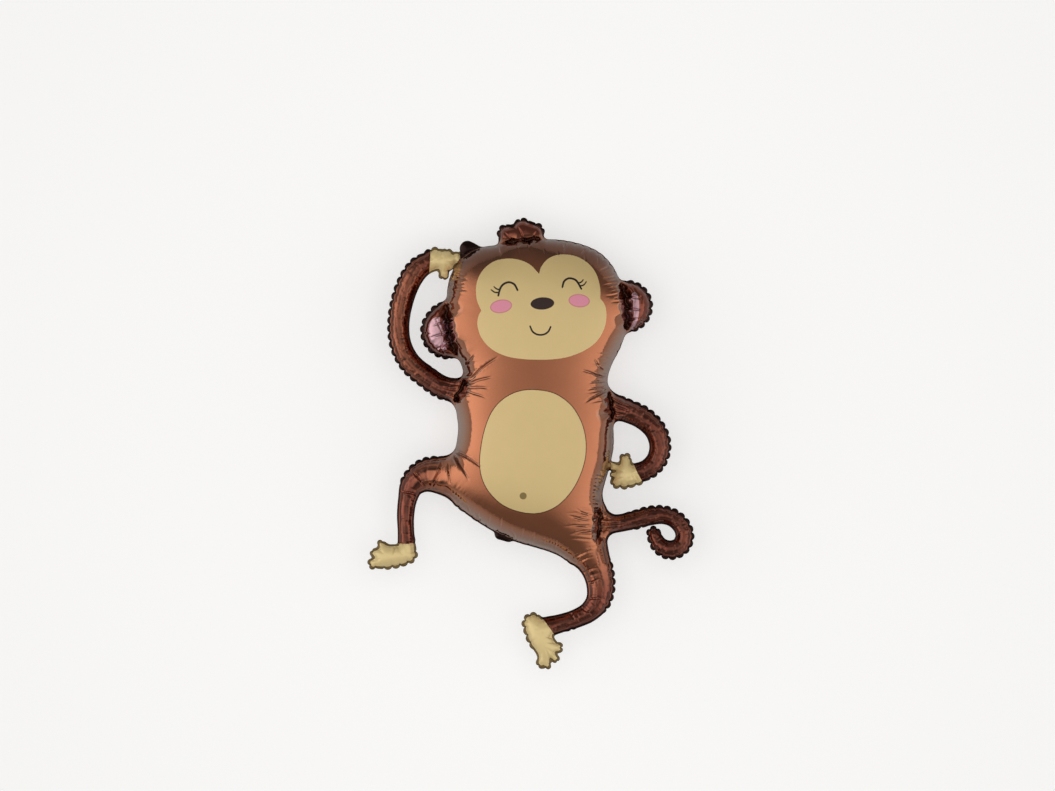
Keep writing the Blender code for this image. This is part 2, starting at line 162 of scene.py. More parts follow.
# Printed strokes, each a curve with its half width, and how far their round ends reach, in half widths
ROUND_END = 0.7
STROKES: dict[str, Points] = {
    "left_eye": [(498.9, 297, 0.9), (501, 289.3, 1), (504.5, 285, 1), (509.7, 283.3, 1), (515, 285.6, 1),
                 (518.2, 291.6, 0.9)],
    "left_lash_1": [(500.2, 290.6, 0.75), (497.3, 289.9, 0.7), (494.5, 287.5, 0.55)],
    "left_lash_2": [(499.3, 293.5, 0.75), (495.3, 293.2, 0.7), (491.6, 290.4, 0.55)],
    "right_eye": [(562.3, 288.6, 0.9), (563.8, 283, 1), (567, 280, 1), (570.8, 279.4, 1), (576.3, 281.7, 1),
                  (581.4, 290.2, 0.9)],
    "right_lash_1": [(578.6, 284, 0.75), (581.2, 283, 0.7), (583.3, 280.4, 0.55)],
    "right_lash_2": [(580.3, 286.9, 0.75), (583.6, 285.9, 0.7), (586.3, 282.4, 0.55)],
    "mouth": [(530.3, 326.6, 0.8), (532.8, 332, 0.9), (536.5, 334.7, 0.9), (540.6, 335.5, 0.9),
              (545, 334.7, 0.9), (548.6, 332, 0.9), (551, 327, 0.8)],
}

# Printed and foil ovals: middle, half width, half height and turn in degrees, counted clockwise
NOSE = (542.6, 304.4, 11.7, 6.1, -3.5)
CHEEKS = {"left": (501.8, 307.2, 10.0, 5.7, -9.0), "right": (579.0, 301.6, 9.6, 5.6, 4.0)}
NAVEL = (523.6, 494.7, 3.5, 3.5, 0.0)
INNER_EARS = {"left": (440.5, 334.0, 12.0, 17.0, -14.0), "right": (633.5, 311.0, 5.6, 19.0, 4.0)}

# Bare cuffs: everything inside these rough frames is printed as a hand or a foot
CUFFS: dict[str, Points] = {
    "left_hand": [(429.3, 242), (430.8, 252), (430.6, 262), (429.3, 276), (446, 285), (452, 276),
                  (454.5, 268), (457.5, 262.5), (460.3, 258), (460.5, 253), (459, 247), (455, 242)],
    "right_hand": [(632, 450), (632.2, 460), (636.8, 470), (643.8, 484), (640, 493), (613, 494), (609.5, 480),
                   (611.2, 472), (611.5, 461), (616, 455), (619, 449)],
    "left_foot": [(392, 540.5), (400, 543.3), (408, 543.6), (416, 542.8), (424, 541), (426, 575), (358, 577),
                  (358, 534)],
    "right_foot": [(536, 609), (541, 617), (546.3, 621.8), (551.8, 629.6), (556.6, 638.3), (569, 643),
                   (566, 674), (526, 675), (513, 640), (514, 610), (526, 604)],
}

# Creases that fan out of the pinched corners: from the pinch, to the end, with depth in millimetres
CREASES: dict[str, Points] = {
    "left_neck": [(470, 379, 497, 358, 3.4), (471, 383, 492, 376.5, 2.5), (470, 387, 489, 388, 2.0),
                  (469, 391, 487, 398, 1.4), (466, 366, 475, 355, 1.8)],
    "right_neck": [(604, 377, 583, 371, 3.4), (604, 381, 589, 383, 1.7), (604.5, 387, 588, 389.5, 2.1),
                   (604.5, 391, 586, 401.5, 3.0), (603, 371, 594, 360, 2.0)],
    "left_hip": [(458, 452, 482, 465.5, 3.8), (456, 456, 468.5, 478.5, 3.8), (449, 464, 450, 482, 2.8),
                 (441, 464, 433, 488, 3.4), (414, 472, 426.5, 489, 3.2), (401.5, 491, 420, 495.5, 2.8)],
    "right_hip": [(590, 519.5, 570, 515, 1.7), (592, 529, 571, 533, 1.7), (590, 524, 572, 524, 1.0),
                  (589, 515, 577, 508, 1.0), (575, 556, 592, 549, 2.0)],
    "right_leg": [(577, 563, 592, 555.5, 2.0), (583.5, 573, 598, 566.5, 2.0), (588, 583, 600, 578.5, 2.0),
                  (588, 597, 601, 599, 2.0), (580, 606, 590, 612.5, 1.8), (570, 610.5, 575, 621, 1.6)],
    "crown": [(530, 240.5, 530, 251, 1.3), (564.5, 242, 565, 255, 1.3), (498, 247, 501, 256, 1.0),
              (608, 268, 600, 271, 1.0), (585, 250, 581, 256, 0.8)],
    "left_temple": [(454, 290, 467, 290.5, 1.3), (456, 284.5, 465, 284.5, 0.7), (458, 279, 466, 279, 0.6)],
    "belly_side": [(606, 481, 594, 478, 1.0), (603, 492, 592, 490, 1.0), (600, 500, 590, 499, 1.0)],
    "lower_edge": [(517, 541, 513, 531, 0.9), (480, 521, 478, 513, 0.9), (470, 511, 468, 504, 0.7)],
    "left_ear": [(453, 320, 434, 326, 2.4), (453, 331, 432, 338, 2.6), (452, 342, 436, 350, 2.2),
                 (444, 311, 436, 319, 1.8), (445, 354, 438, 347, 1.5), (438, 321, 444, 336, 1.5),
                 (441, 352, 446, 338, 1.5), (424, 333, 431, 334, 0.8)],
    "right_ear": [(626, 296, 640, 299, 2.0), (626, 308, 642, 311, 2.2), (626, 320, 640, 319, 2.0),
                  (632, 285, 636, 293, 1.5), (634, 330, 637, 322, 1.3), (641, 296, 642, 306, 1.2),
                  (646, 312, 640, 326, 1.2)],
    "tuft": [(524, 240, 517.5, 226, 1.8), (513, 241, 505, 233, 1.4), (532, 240, 538, 231, 1.3)],
    "arm_roots": [(612, 398, 633, 408, 1.8), (613, 404, 630, 412, 1.5), (613, 411, 626, 416.5, 1.6),
                  (459, 384, 438, 381, 1.8), (458, 390, 442, 387.5, 1.5), (457, 396, 444, 393.5, 1.6)],
    "tail_root": [(600, 517, 618, 519.5, 1.6), (600, 523, 624, 523.5, 1.8), (599, 530, 614, 528, 1.6)],
    "left_foot": [(396, 544.5, 393, 554.5, 1.8), (374, 560, 382, 558.5, 1.0), (379, 549, 384, 553, 0.8)],
    "right_foot": [(557, 640, 545, 634.5, 1.2), (557, 643, 546, 641, 1.2), (549, 657, 545, 646, 0.9),
                   (554, 653, 547, 648, 0.9)],
    "left_hand": [(453, 263, 445, 261, 1.0), (442, 252.5, 443, 259, 0.9), (449, 269, 445, 263, 0.9)],
    "right_hand": [(616, 478.5, 624, 477, 1.0), (617, 470.5, 624, 471.5, 1.0), (633, 480, 632, 474, 0.7)],
}

# Rows of short pleats: the foot of the first and of the last, how each runs, how many, and depth in mm
PLEATS: dict[str, tuple[float, ...]] = {
    "right_temple": (615, 277, 623, 301, -11, 2, 8, 0.60),
    "left_temple": (453, 270, 450, 296, 13, 1, 7, 0.45),
    "right_neck": (610, 353, 606, 400, -16, 2, 10, 0.65),
    "left_neck": (463, 364, 460, 402, 13, -1, 7, 0.50),
    "right_waist": (606, 472, 600, 505, -9, -2, 7, 0.60),
    "right_hip": (592, 508, 592, 538, -20, 0, 8, 0.65),
    "crown": (505, 245, 598, 257, 1, 9, 8, 0.40),
    "low_edge": (478, 518, 555, 548, 2, -9, 8, 0.40),
}

# Parts of the cut edge that run smooth: middle and radius
SMOOTH_EDGES: Points = [(399, 512, 34), (590, 620, 20), (618, 540, 22)]

# Where a hand is welded to the head or torso: middle and reach of the painted shade that darkens the film
# there
TOUCHES: Points = [(459, 263, 5), (608, 467, 7)]

# Where a limb or lobe is pinched at its root: the middle, the reach, how far out the pinch goes, and about
# how far the limb or lobe swells beyond it, in metres
ROOTS: dict[str, tuple[float, float, float, float, float]] = {
    "left_ear": (450, 331, 30, 10, 0.038), "right_ear": (627, 307, 28, 10, 0.036),
    "left_arm": (459, 390, 17, 6, 0.024), "right_arm": (612, 405, 17, 6, 0.024),
    "tail": (601, 523, 15, 8, 0.021), "tuft": (523, 242, 20, 5, 0.026),
}


class Side(Enum):
    """The two sheets of film."""

    FRONT = 1
    BACK = -1


class Ink(Enum):
    """What each part of the film is finished with, in the order of the material slots."""

    BARE_FOIL = 0
    BORDER = 1
    EDGE_LINE = 2
    CREAM = 3
    CHEEK_RING = 4
    CHEEK = 5
    NOSE = 6
    LINE = 7
    NAVEL = 8
    INNER_EAR = 9
    CUFF = 10
    CUFF_BORDER = 11


def smooth_path(points: Points, closed: bool, steps: int = 6) -> Array:
    """Run a Catmull-Rom curve through points.

    Args:
        points: the knots, with as many numbers each as the curve has.
        closed: whether the curve returns to its first knot.
        steps: the divisions of each span.

    Returns:
        The points of the curve, in rows.
    """
    knots = np.array(points, float)
    if closed:
        padded = np.vstack([knots[-1], knots, knots[:2]])
    else:
        padded = np.vstack([2 * knots[0] - knots[1], knots, 2 * knots[-1] - knots[-2]])
    t = (np.arange(steps) / steps)[:, None]
    runs = []
    for a, b, c, d in zip(padded[:-3], padded[1:-2], padded[2:-1], padded[3:]):
        cubic = 3 * b - a - 3 * c + d
        square = 2 * a - 5 * b + 4 * c - d
        runs.append(0.5 * (2 * b + (c - a) * t + square * t ** 2 + cubic * t ** 3))
    if not closed:
        runs.append(knots[-1:])
    return np.vstack(runs)


def distance_inside_curve(spots: Array, curve: Array) -> Array:
    """Measure the distance of each spot to a closed curve, negative inside it.

    Args:
        spots: flat places in drawing units, in rows of x and y.
        curve: the corners of the closed curve.

    Returns:
        One distance for each spot.
    """
    nearest = np.full(len(spots), np.inf)
    inside = np.zeros(len(spots), bool)
    for start, end in zip(curve, np.roll(curve, -1, axis=0)):
        along = end - start
        away = spots - start
        t = clamp(away @ along / (along @ along))
        nearest = np.minimum(nearest, ((away - t[:, None] * along) ** 2).sum(1))
        crosses = (start[1] > spots[:, 1]) != (end[1] > spots[:, 1])
        if crosses.any():
            reach = start[0] + (spots[:, 1] - start[1]) * along[0] / along[1]
            inside ^= crosses & (spots[:, 0] < reach)
    return np.where(inside, -1, 1) * np.sqrt(nearest)


def distance_to_tube(spots: Array, line: Array) -> Array:
    """Measure the distance of each spot to a tube given by rows of x, y and half width.

    Args:
        spots: flat places in drawing units, in rows of x and y.
        line: the tube's middle line, in rows of x, y and half width.

    Returns:
        One distance for each spot, negative inside the tube.
    """
    nearest = np.full(len(spots), np.inf)
    for start, end in zip(line[:-1], line[1:]):
        along = end[:2] - start[:2]
        away = spots - start[:2]
        t = clamp(away @ along / max(along @ along, 1e-9))
        gap = np.sqrt(((away - t[:, None] * along) ** 2).sum(1))
        nearest = np.minimum(nearest, gap - start[2] - t * (end[2] - start[2]))
    return nearest


def blend(first: Array, second: Array, web: float) -> Array:
    """Join two distance fields with a fillet of about the width of the web."""
    overlap = np.maximum(web - np.abs(first - second), 0) / web
    return np.minimum(first, second) - overlap ** 2 * web / 4


def clamp(values: Array) -> Array:
    """Limit values to between 0 and 1."""
    return np.clip(values, 0, 1)


def norms(rows: Array) -> Array:
    """Return the length of each row."""
    return np.linalg.norm(rows, axis=1)


def aside(rows: Array) -> Array:
    """Turn flat directions by a quarter turn."""
    return np.stack([-rows[:, 1], rows[:, 0]], 1)


def travelled(line: Array) -> Array:
    """Return how far along a line each of its points is."""
    return np.concatenate([[0], np.cumsum(norms(np.diff(line, axis=0)))])


def softened(rows: Array) -> Array:
    """Mix the rows of a closed loop lightly with their neighbours."""
    return 0.5 * rows + 0.25 * (np.roll(rows, 1, axis=0) + np.roll(rows, -1, axis=0))


def one_way(loop: Array) -> Array:
    """Return a closed loop run in the one sense that its outward side depends on."""
    return loop if np.cross(loop, np.roll(loop, -1, axis=0)).sum() > 0 else loop[::-1]


def even_loop(loop: Array, step: float, smoothing: int = 3) -> Array:
    """Smooth a closed loop lightly and divide it into equal steps of about this length.

    Args:
        loop: the corners of the closed loop.
        step: about how far apart the new points are.
        smoothing: how often the loop is softened first.

    Returns:
        The points of the divided loop.
    """
    for _ in range(smoothing):
        loop = softened(loop)
    closed = np.vstack([loop, loop[:1]])
    length = travelled(closed)
    count = max(8, round(length[-1] / step))
    places = np.arange(count) * length[-1] / count
    return np.stack([np.interp(places, length, closed[:, axis]) for axis in (0, 1)], 1)


def outward(loop: Array) -> Array:
    """Return the unit vectors that point away from the film, which is on the loop's left."""
    tangent = np.roll(loop, -1, axis=0) - np.roll(loop, 1, axis=0)
    return aside(tangent / norms(tangent)[:, None])


def thinned(points: Array, spacing: float) -> Array:
    """Drop each point that is closer than the spacing to one before it.

    Args:
        points: flat places, the most important first.
        spacing: the least distance.

    Returns:
        The points that are kept, in their order.
    """
    kept = []
    cells: dict[tuple[int, int], tuple[float, float]] = {}
    for x, y in points.tolist():
        column, row = math.floor(x / spacing), math.floor(y / spacing)
        near = (cells.get((i, j)) for i in (column, column - 1, column + 1) for j in (row, row - 1, row + 1))
        if all(other is None or math.dist(other, (x, y)) > spacing for other in near):
            cells[column, row] = (x, y)
            kept.append((x, y))
    return np.array(kept)


def oval(shape: tuple[float, ...], grow: float = 0.0, count: int = 48) -> Array:
    """Draw an oval from its middle, half width, half height and turn, grown on all sides.

    Args:
        shape: the middle, half width, half height and turn in degrees.
        grow: how much wider it is drawn on all sides.
        count: how many corners it has.

    Returns:
        The corners of the closed edge.
    """
    x, y, wide, high, turn = shape
    angle = 2 * math.pi * np.arange(count) / count
    across, down = (wide + grow) * np.cos(angle), (high + grow) * np.sin(angle)
    sine, cosine = math.sin(math.radians(turn)), math.cos(math.radians(turn))
    return np.stack([x + across * cosine - down * sine, y + across * sine + down * cosine], 1)


def stroke(points: Points) -> Array:
    """Draw the closed edge of a stroke from its middle line and half widths, with round ends.

    Args:
        points: the middle line's knots, each with its half width.

    Returns:
        The corners of the closed edge.
    """
    line = smooth_path(points, False, 4)
    spots, half = line[:, :2], line[:, 2:]
    tangent = np.gradient(spots, axis=0)
    tangent /= norms(tangent)[:, None]
    side = half * aside(tangent)
    start = spots[0] - ROUND_END * half[0] * tangent[0]
    end = spots[-1] + ROUND_END * half[-1] * tangent[-1]
    return np.vstack([start[None], spots + side, end[None], (spots - side)[::-1]])


def scallop(phase: Array) -> Array:
    """Return the rounded edge of tabs: 0 at each whole phase, where the notch is, and 1 between."""
    return np.sqrt(np.abs(np.sin(math.pi * phase)))


def nearest(points: Array, spots: Array) -> tuple[Array, Array]:
    """Find the flat point nearest to each spot, and return its number and how far off it is.

    Args:
        points: the places to find.
        spots: the places to start from.

    Returns:
        The number of each spot's nearest point, and the distances.
    """
    tree = KDTree(len(points))
    for number, (x, y) in enumerate(points.tolist()):
        tree.insert((x, y, 0), number)
    tree.balance()
    found = [tree.find((x, y, 0)) for x, y in spots.tolist()]
    return np.array([hit[1] for hit in found]), np.array([hit[2] for hit in found])


@dataclass
class Grid:
    """Values sampled on an even grid of drawing units."""

    xs: Array
    ys: Array
    values: Array
    probe: float = 0.3

    def read(self, spots: Array) -> Array:
        """Read the values at any spots, between the grid points.

        Args:
            spots: flat places in drawing units, in rows of x and y.

        Returns:
            One value for each spot.
        """
        step = self.xs[1] - self.xs[0]
        u = np.clip((spots[:, 0] - self.xs[0]) / step, 0, len(self.xs) - 1.001)
        v = np.clip((spots[:, 1] - self.ys[0]) / step, 0, len(self.ys) - 1.001)
        i, j = u.astype(int), v.astype(int)
        s, t = u - i, v - j
        lower = self.values[j, i] * (1 - s) + self.values[j, i + 1] * s
        upper = self.values[j + 1, i] * (1 - s) + self.values[j + 1, i + 1] * s
        return lower * (1 - t) + upper * t

    def loops(self, level: float, smallest: float) -> list[Array]:
        """Trace the closed loops at a level, the film always on their left.

        Args:
            level: the value to follow.
            smallest: loops no larger than this across are left out.

        Returns:
            One array of points for each loop.
        """
        rows, columns = self.values.shape
        index = np.arange(rows * columns).reshape(rows, columns)
        a, b = index[:-1, :-1].ravel(), index[:-1, 1:].ravel()
        c, d = index[1:, 1:].ravel(), index[1:, :-1].ravel()
        triangles = np.vstack([np.stack([a, b, c], 1), np.stack([a, c, d], 1)])
        value = self.values.ravel() - level
        above = value[triangles] > 0
        links: dict[tuple[int, int], list[tuple[int, int]]] = {}
        for p, q, r in triangles[above.any(1) & ~above.all(1)].tolist():
            sides = ((p, q), (q, r), (r, p))
            ends = [(min(e), max(e)) for e in sides if (value[e[0]] > 0) != (value[e[1]] > 0)]
            links.setdefault(ends[0], []).append(ends[1])
            links.setdefault(ends[1], []).append(ends[0])
        found = []
        while links:
            key = next(iter(links))
            chain = []
            while key is not None:
                p, q = key
                t = value[p] / (value[p] - value[q])
                x = (1 - t) * self.xs[p % columns] + t * self.xs[q % columns]
                y = (1 - t) * self.ys[p // columns] + t * self.ys[q // columns]
                chain.append((x, y))
                key = next((other for other in links.pop(key) if other in links), None)
            loop = np.array(chain)
            forward = np.roll(loop, -1, axis=0) - loop
            left = loop - self.probe * aside(forward)
            if np.mean(self.read(left) - level) > 0:
                loop = loop[::-1]
            if np.ptp(loop, axis=0).max() > smallest:
                found.append(loop)
        return found


@dataclass
class Outline:
    """The drawn outline of the balloon, as fields of the distance to its edges."""

    grid_step: float = 1.0
    margin: float = 14.0
    limb_web: float = 10.0
    lobe_web: float = 6.0
    digit_web: float = 2.5
    smallest_hole: float = 8.0
    border_width: float = 2.0
    hidden_border: tuple[float, float] = (0.85, 0.35)
    hidden_rows: tuple[float, float] = (470, 505)
    body_rim: float = 1.0
    body_fade: float = 6.0
    body: Grid = field(init=False)
    seam: Grid = field(init=False)
    whole: Grid = field(init=False)

    def __post_init__(self) -> None:
        """Sample the three fields: head and torso, the film inside the seam, and all the film."""
        parts = {**LIMBS, **LOBES, **DIGITS, **TABS}
        corners = np.array([(x, y) for line in parts.values() for x, y, _ in line] + BODY)
        low, high = corners.min(0) - self.margin, corners.max(0) + self.margin
        xs = np.arange(low[0], high[0], self.grid_step)
        ys = np.arange(low[1], high[1], self.grid_step)
        spots = np.stack([axis.ravel() for axis in np.meshgrid(xs, ys)], 1)
        values = distance_inside_curve(spots, smooth_path(BODY, True))
        shape = (len(ys), len(xs))
        self.body = Grid(xs, ys, values.reshape(shape).copy())
        for group, web in ((LIMBS, self.limb_web), (LOBES, self.lobe_web), (DIGITS, self.digit_web)):
            self._join(values, spots, group, web)
        hidden = np.interp(spots[:, 1], self.hidden_rows, self.hidden_border)
        width = self.border_width * (1 - hidden * self.on_body(spots))
        self.seam = Grid(xs, ys, (values + width).reshape(shape))
        for group in (TABS, WELDS):
            self._join(values, spots, group, self.digit_web)
        self.whole = Grid(xs, ys, values.reshape(shape))

    def on_body(self, spots: Array) -> Array:
        """Return 1 on the head and torso, whose film bulges over the border, and 0 out on the limbs."""
        return clamp(1 - (self.body.read(spots) - self.body_rim) / self.body_fade)

    def _join(self, values: Array, spots: Array, group: dict[str, Points], web: float) -> None:
        """Blend a group of tubes into the sampled distances.

        Args:
            values: the sampled distances, which are changed.
            spots: the places of the samples.
            group: the tubes by name.
            web: the width of the fillet between them.
        """
        for points in group.values():
            line = smooth_path(points, False)
            reach = line[:, 2].max() + 2 * self.limb_web
            near = (spots > line[:, :2].min(0) - reach) & (spots < line[:, :2].max(0) + reach)
            near = near.all(1)
            values[near] = blend(values[near], distance_to_tube(spots[near], line), web)


@dataclass
class Border:
    """The sealed border outside the seam, cut in scallops that are crimped at each notch, in metres."""

    unit: float
    width: float = 0.0035
    thickness: float = 0.0012
    pitch: float = 0.0145
    limb_depth: float = 0.0050
    body_depth: float = 0.0008
    crimp: float = 0.0014
    step: float = 0.0012
    curl: float = 0.0011
    dome: float = 0.0055
    dome_reach: float = 0.0100
    mean_tab: float = 0.56
    tab_fade: float = 2.0
    hollow_reach: float = 0.8
    hollow_gain: float = 40.0
    hollow_rounds: int = 4
    smooth_fade: float = 4.0
    chances: int = 997
    seed: int = 11
    cut_edges: list[Array] = field(init=False)
    seams: list[Array] = field(init=False)
    phases: Array = field(init=False)
    bulges: Array = field(init=False)

    def draw(self, outline: Outline) -> None:
        """Trace the seam and the scalloped cut edge, and note each tab's phase and bulge.

        Args:
            outline: the drawing.
        """
        step = self.step / self.unit
        edges = [even_loop(loop, step) for loop in outline.whole.loops(0, outline.smallest_hole)]
        seams = [even_loop(loop, step) for loop in outline.seam.loops(0, outline.smallest_hole)]
        phases = [self._phase(loop) for loop in edges]
        bulges = [self._bulge(loop) for loop in edges]
        hits, _ = nearest(np.vstack(edges), np.vstack(seams))
        self.phases = np.concatenate(phases)[hits]
        self.bulges = np.concatenate(bulges)[hits]
        self.cut_edges = []
        for loop, phase, bulge in zip(edges, phases, bulges):
            body = outline.on_body(loop)
            depth = self.limb_depth * (1 - body) + self.body_depth * body
            bulge *= clamp(1 - (outline.seam.read(loop) - self.width / self.unit) / self.tab_fade)
            shift = depth / self.unit * (scallop(phase) - self.mean_tab) * bulge
            self.cut_edges.append(loop + shift[:, None] * outward(loop))
        self.seams = []
        start = 0
        for loop in seams:
            own = slice(start, start + len(loop))
            shift = self.crimp / self.unit * (scallop(self.phases[own]) - 1) * self.bulges[own]
            self.seams.append(loop + shift[:, None] * outward(loop))
            start += len(loop)

    def curls(self, phase: Array) -> Array:
        """Return how far each tab of the border curls up or down at a phase."""
        chance = np.random.default_rng(self.seed).uniform(-1, 1, self.chances)
        return self.curl * chance[np.floor(phase).astype(int) % self.chances] * scallop(phase)

    def _phase(self, loop: Array) -> Array:
        """Count the tabs along a loop, with a whole number of them.

        Args:
            loop: the points of an edge.

        Returns:
            The count at each point, whole at each notch.
        """
        length = norms(np.roll(loop, -1, axis=0) - loop).sum()
        tabs = max(1, round(length * self.unit / self.pitch))
        return np.arange(len(loop)) * tabs / len(loop)

    def _bulge(self, loop: Array) -> Array:
        """Return 1 where the loop bulges outwards over about a tab, and 0 where it is hollow.

        Args:
            loop: the points of an edge.

        Returns:
            The share at each point.
        """
        reach = max(1, round(self.hollow_reach * self.pitch / self.step))
        after, before = np.roll(loop, reach, axis=0), np.roll(loop, -reach, axis=0)
        rise = ((loop - 0.5 * (after + before)) * outward(loop)).sum(1)
        raised = clamp(0.5 + rise / norms(after - before) * self.hollow_gain)
        for _ in range(self.hollow_rounds * reach):
            raised = softened(raised)
        for x, y, radius in SMOOTH_EDGES:
            raised *= clamp(norms(loop - (x, y)) / radius * self.smooth_fade - (self.smooth_fade - 1))
        return raised


@dataclass
class Print:
    """The printed picture: closed shapes in drawing units, painted one over another."""

    edge_line: float = 0.75
    cheek_ring: float = 1.0
    step: float = 0.85
    least_step: float = 0.5
    shapes: list[tuple[Ink, Array]] = field(default_factory=list)

    def add(self, ink: Ink, loop: Array) -> None:
        """Add a closed shape over those before it, divided evenly."""
        step = min(self.step, np.ptp(loop, axis=0).min() / 2)
        self.shapes.append((ink, even_loop(loop, max(step, self.least_step), 0)))

    def add_framed(self, loop: Array) -> None:
        """Add a cream shape with a thin dark line round it.

        Args:
            loop: the corners of the shape.
        """
        turn = one_way(loop)
        self.add(Ink.EDGE_LINE, turn - self.edge_line * outward(turn))
        self.add(Ink.CREAM, turn)

    def draw_front(self) -> None:
        """Draw the face, the belly and the four cuffs."""
        self.add_framed(np.vstack([smooth_path(run, False)[:-1] for run in FACE_RUNS]))
        self.add_framed(smooth_path(BELLY, True))
        self.add(Ink.NAVEL, oval(NAVEL, count=24))
        for cheek in CHEEKS.values():
            self.add(Ink.CHEEK_RING, oval(cheek, self.cheek_ring))
            self.add(Ink.CHEEK, oval(cheek))
        self.add(Ink.NOSE, oval(NOSE))
        for points in STROKES.values():
            self.add(Ink.LINE, stroke(points))
        for ear in INNER_EARS.values():
            self.add(Ink.INNER_EAR, oval(ear))
        self.draw_cuffs()

    def draw_cuffs(self) -> None:
        """Draw the frames inside which the hands and feet are cream."""
        for points in CUFFS.values():
            self.shapes.append((Ink.CUFF, np.array(points, float)))


@dataclass
class Sheet:
    """One sheet of film, divided into triangles on the flat."""

    corners: Array
    film: Array
    border: Array
    film_inks: Array
    border_inks: Array
    on_cut: Array
    on_seam: Array


@dataclass
class Cutter:
    """Divides a sheet of film into triangles, finer towards the seam, in metres."""

    unit: float
    rings: tuple[float, ...] = (0.0004, 0.0012, 0.0024, 0.0040, 0.0060, 0.0084)
    body_rings: tuple[float, ...] = (0.0112, 0.0142, 0.0176, 0.0214, 0.0256)
    stride: int = 1
    net: float = 0.0024
    coarse_net: float = 0.0036
    coarse_from: float = 0.0300
    closest: float = 0.0009
    border_rings: tuple[float, ...] = (0.0012, 0.0023)
    border_net: float = 0.0022
    crease_rows: tuple[float, ...] = (0.0, -0.0007, 0.0007, -0.0015, 0.0015, -0.0026, 0.0026)
    crease_step: float = 0.0014
    crease_ends: tuple[float, float] = (-0.05, 1.08)
    root_rows: tuple[float, ...] = (
        -0.0005, 0.0005, -0.0014, 0.0016, -0.0028, 0.0032, -0.0046, 0.0052, -0.0070,
    )
    root_clear: float = 0.002
    edge_clear: float = 0.0006
    ring_share: float = 0.85
    body_share: float = 0.5
    creased: bool = True

    def points(self, outline: Outline, border: Border) -> Array:
        """Spread points over the film: along creases, in rings along the seam, then in two even nets.

        Args:
            outline: the drawing.
            border: the sealed border, with its seams and cut edges.

        Returns:
            The places, in drawing units.
        """
        groups = [self._border_points(outline, border)]
        groups.append(self._root_points(outline))
        if self.creased:
            groups.append(self._crease_points())
        for depth in self.rings + self.body_rings:
            inset = depth / self.unit
            for seam in border.seams:
                ring = (seam - inset * outward(seam))[::self.stride]
                kept = outline.seam.read(ring) < -self.ring_share * inset
                if depth in self.body_rings:
                    kept &= outline.body.read(ring) < -self.body_share * inset
                groups.append(ring[kept])
        limb_end, body_end = self.rings[-1] / self.unit, (self.rings + self.body_rings)[-1] / self.unit
        for step, farthest in ((self.net / self.unit, self.coarse_from / self.unit),
                               (self.coarse_net / self.unit, np.inf)):
            spots = self._net(outline, step)
            depth = -outline.seam.read(spots)
            on_body = outline.body.read(spots) < -self.body_share * depth
            inner = np.where(on_body, body_end, limb_end) + 0.5 * step
            if farthest == np.inf:
                inner = np.maximum(inner, self.coarse_from / self.unit + 0.4 * step)
            groups.append(spots[(depth > inner) & (depth < farthest)])
        return np.vstack(groups)

    def _net(self, outline: Outline, step: float) -> Array:
        """Lay an even net of triangles over the whole drawing.

        Args:
            outline: the drawing.
            step: the distance between neighbours.

        Returns:
            The places of the net.
        """
        xs, ys = outline.whole.xs, outline.whole.ys
        rows = np.arange(ys[0], ys[-1], step * math.sqrt(3) / 2)
        across, down = np.meshgrid(np.arange(xs[0], xs[-1], step), rows)
        across = across + (np.arange(len(rows)) % 2)[:, None] * step / 2
        return np.stack([across.ravel(), down.ravel()], 1)

    def _border_points(self, outline: Outline, border: Border) -> Array:
        """Spread points over the border and its tabs, clear of both its edges.

        Args:
            outline: the drawing.
            border: the sealed border, with its seams and cut edges.

        Returns:
            The places, in drawing units.
        """
        clear = self.edge_clear / self.unit
        groups = [
            edge - depth / self.unit * outward(edge)
            for depth in self.border_rings for edge in border.cut_edges
        ]
        groups.append(self._net(outline, self.border_net / self.unit))
        spots = np.vstack(groups)
        spots = spots[(outline.seam.read(spots) > clear + border.crimp / self.unit)
                      & (outline.whole.read(spots) < -clear)]
        _, gaps = nearest(np.vstack(border.cut_edges), spots)
        return spots[gaps > 1.4 * clear]

    def _root_points(self, outline: Outline) -> Array:
        """Lay rows of points along the valleys where limbs and lobes join the body.

        Args:
            outline: the drawing.

        Returns:
            The places, in drawing units.
        """
        edge = even_loop(max(outline.body.loops(0, outline.smallest_hole), key=len),
                         self.crease_step * self.stride / self.unit)
        groups = []
        for row in self.root_rows[::self.stride]:
            spots = edge + row / self.unit * outward(edge)
            groups.append(spots[outline.seam.read(spots) < -(0.5 * abs(row) + self.root_clear) / self.unit])
        return np.vstack(groups)

    def _crease_points(self) -> Array:
        """Lay rows of points along every drawn crease.

        Returns:
            The places, in drawing units.
        """
        groups = []
        for x, y, end_x, end_y, _ in all_creases():
            length = math.dist((x, y), (end_x, end_y))
            t = np.arange(*self.crease_ends, self.crease_step / self.unit / length)
            side = np.array([end_y - y, x - end_x]) / length
            for row in self.crease_rows:
                off = row / self.unit + crease_wander(t, x, length)
                groups.append(np.array([x, y]) + t[:, None] * (end_x - x, end_y - y) + off[:, None] * side)
        return np.vstack(groups)

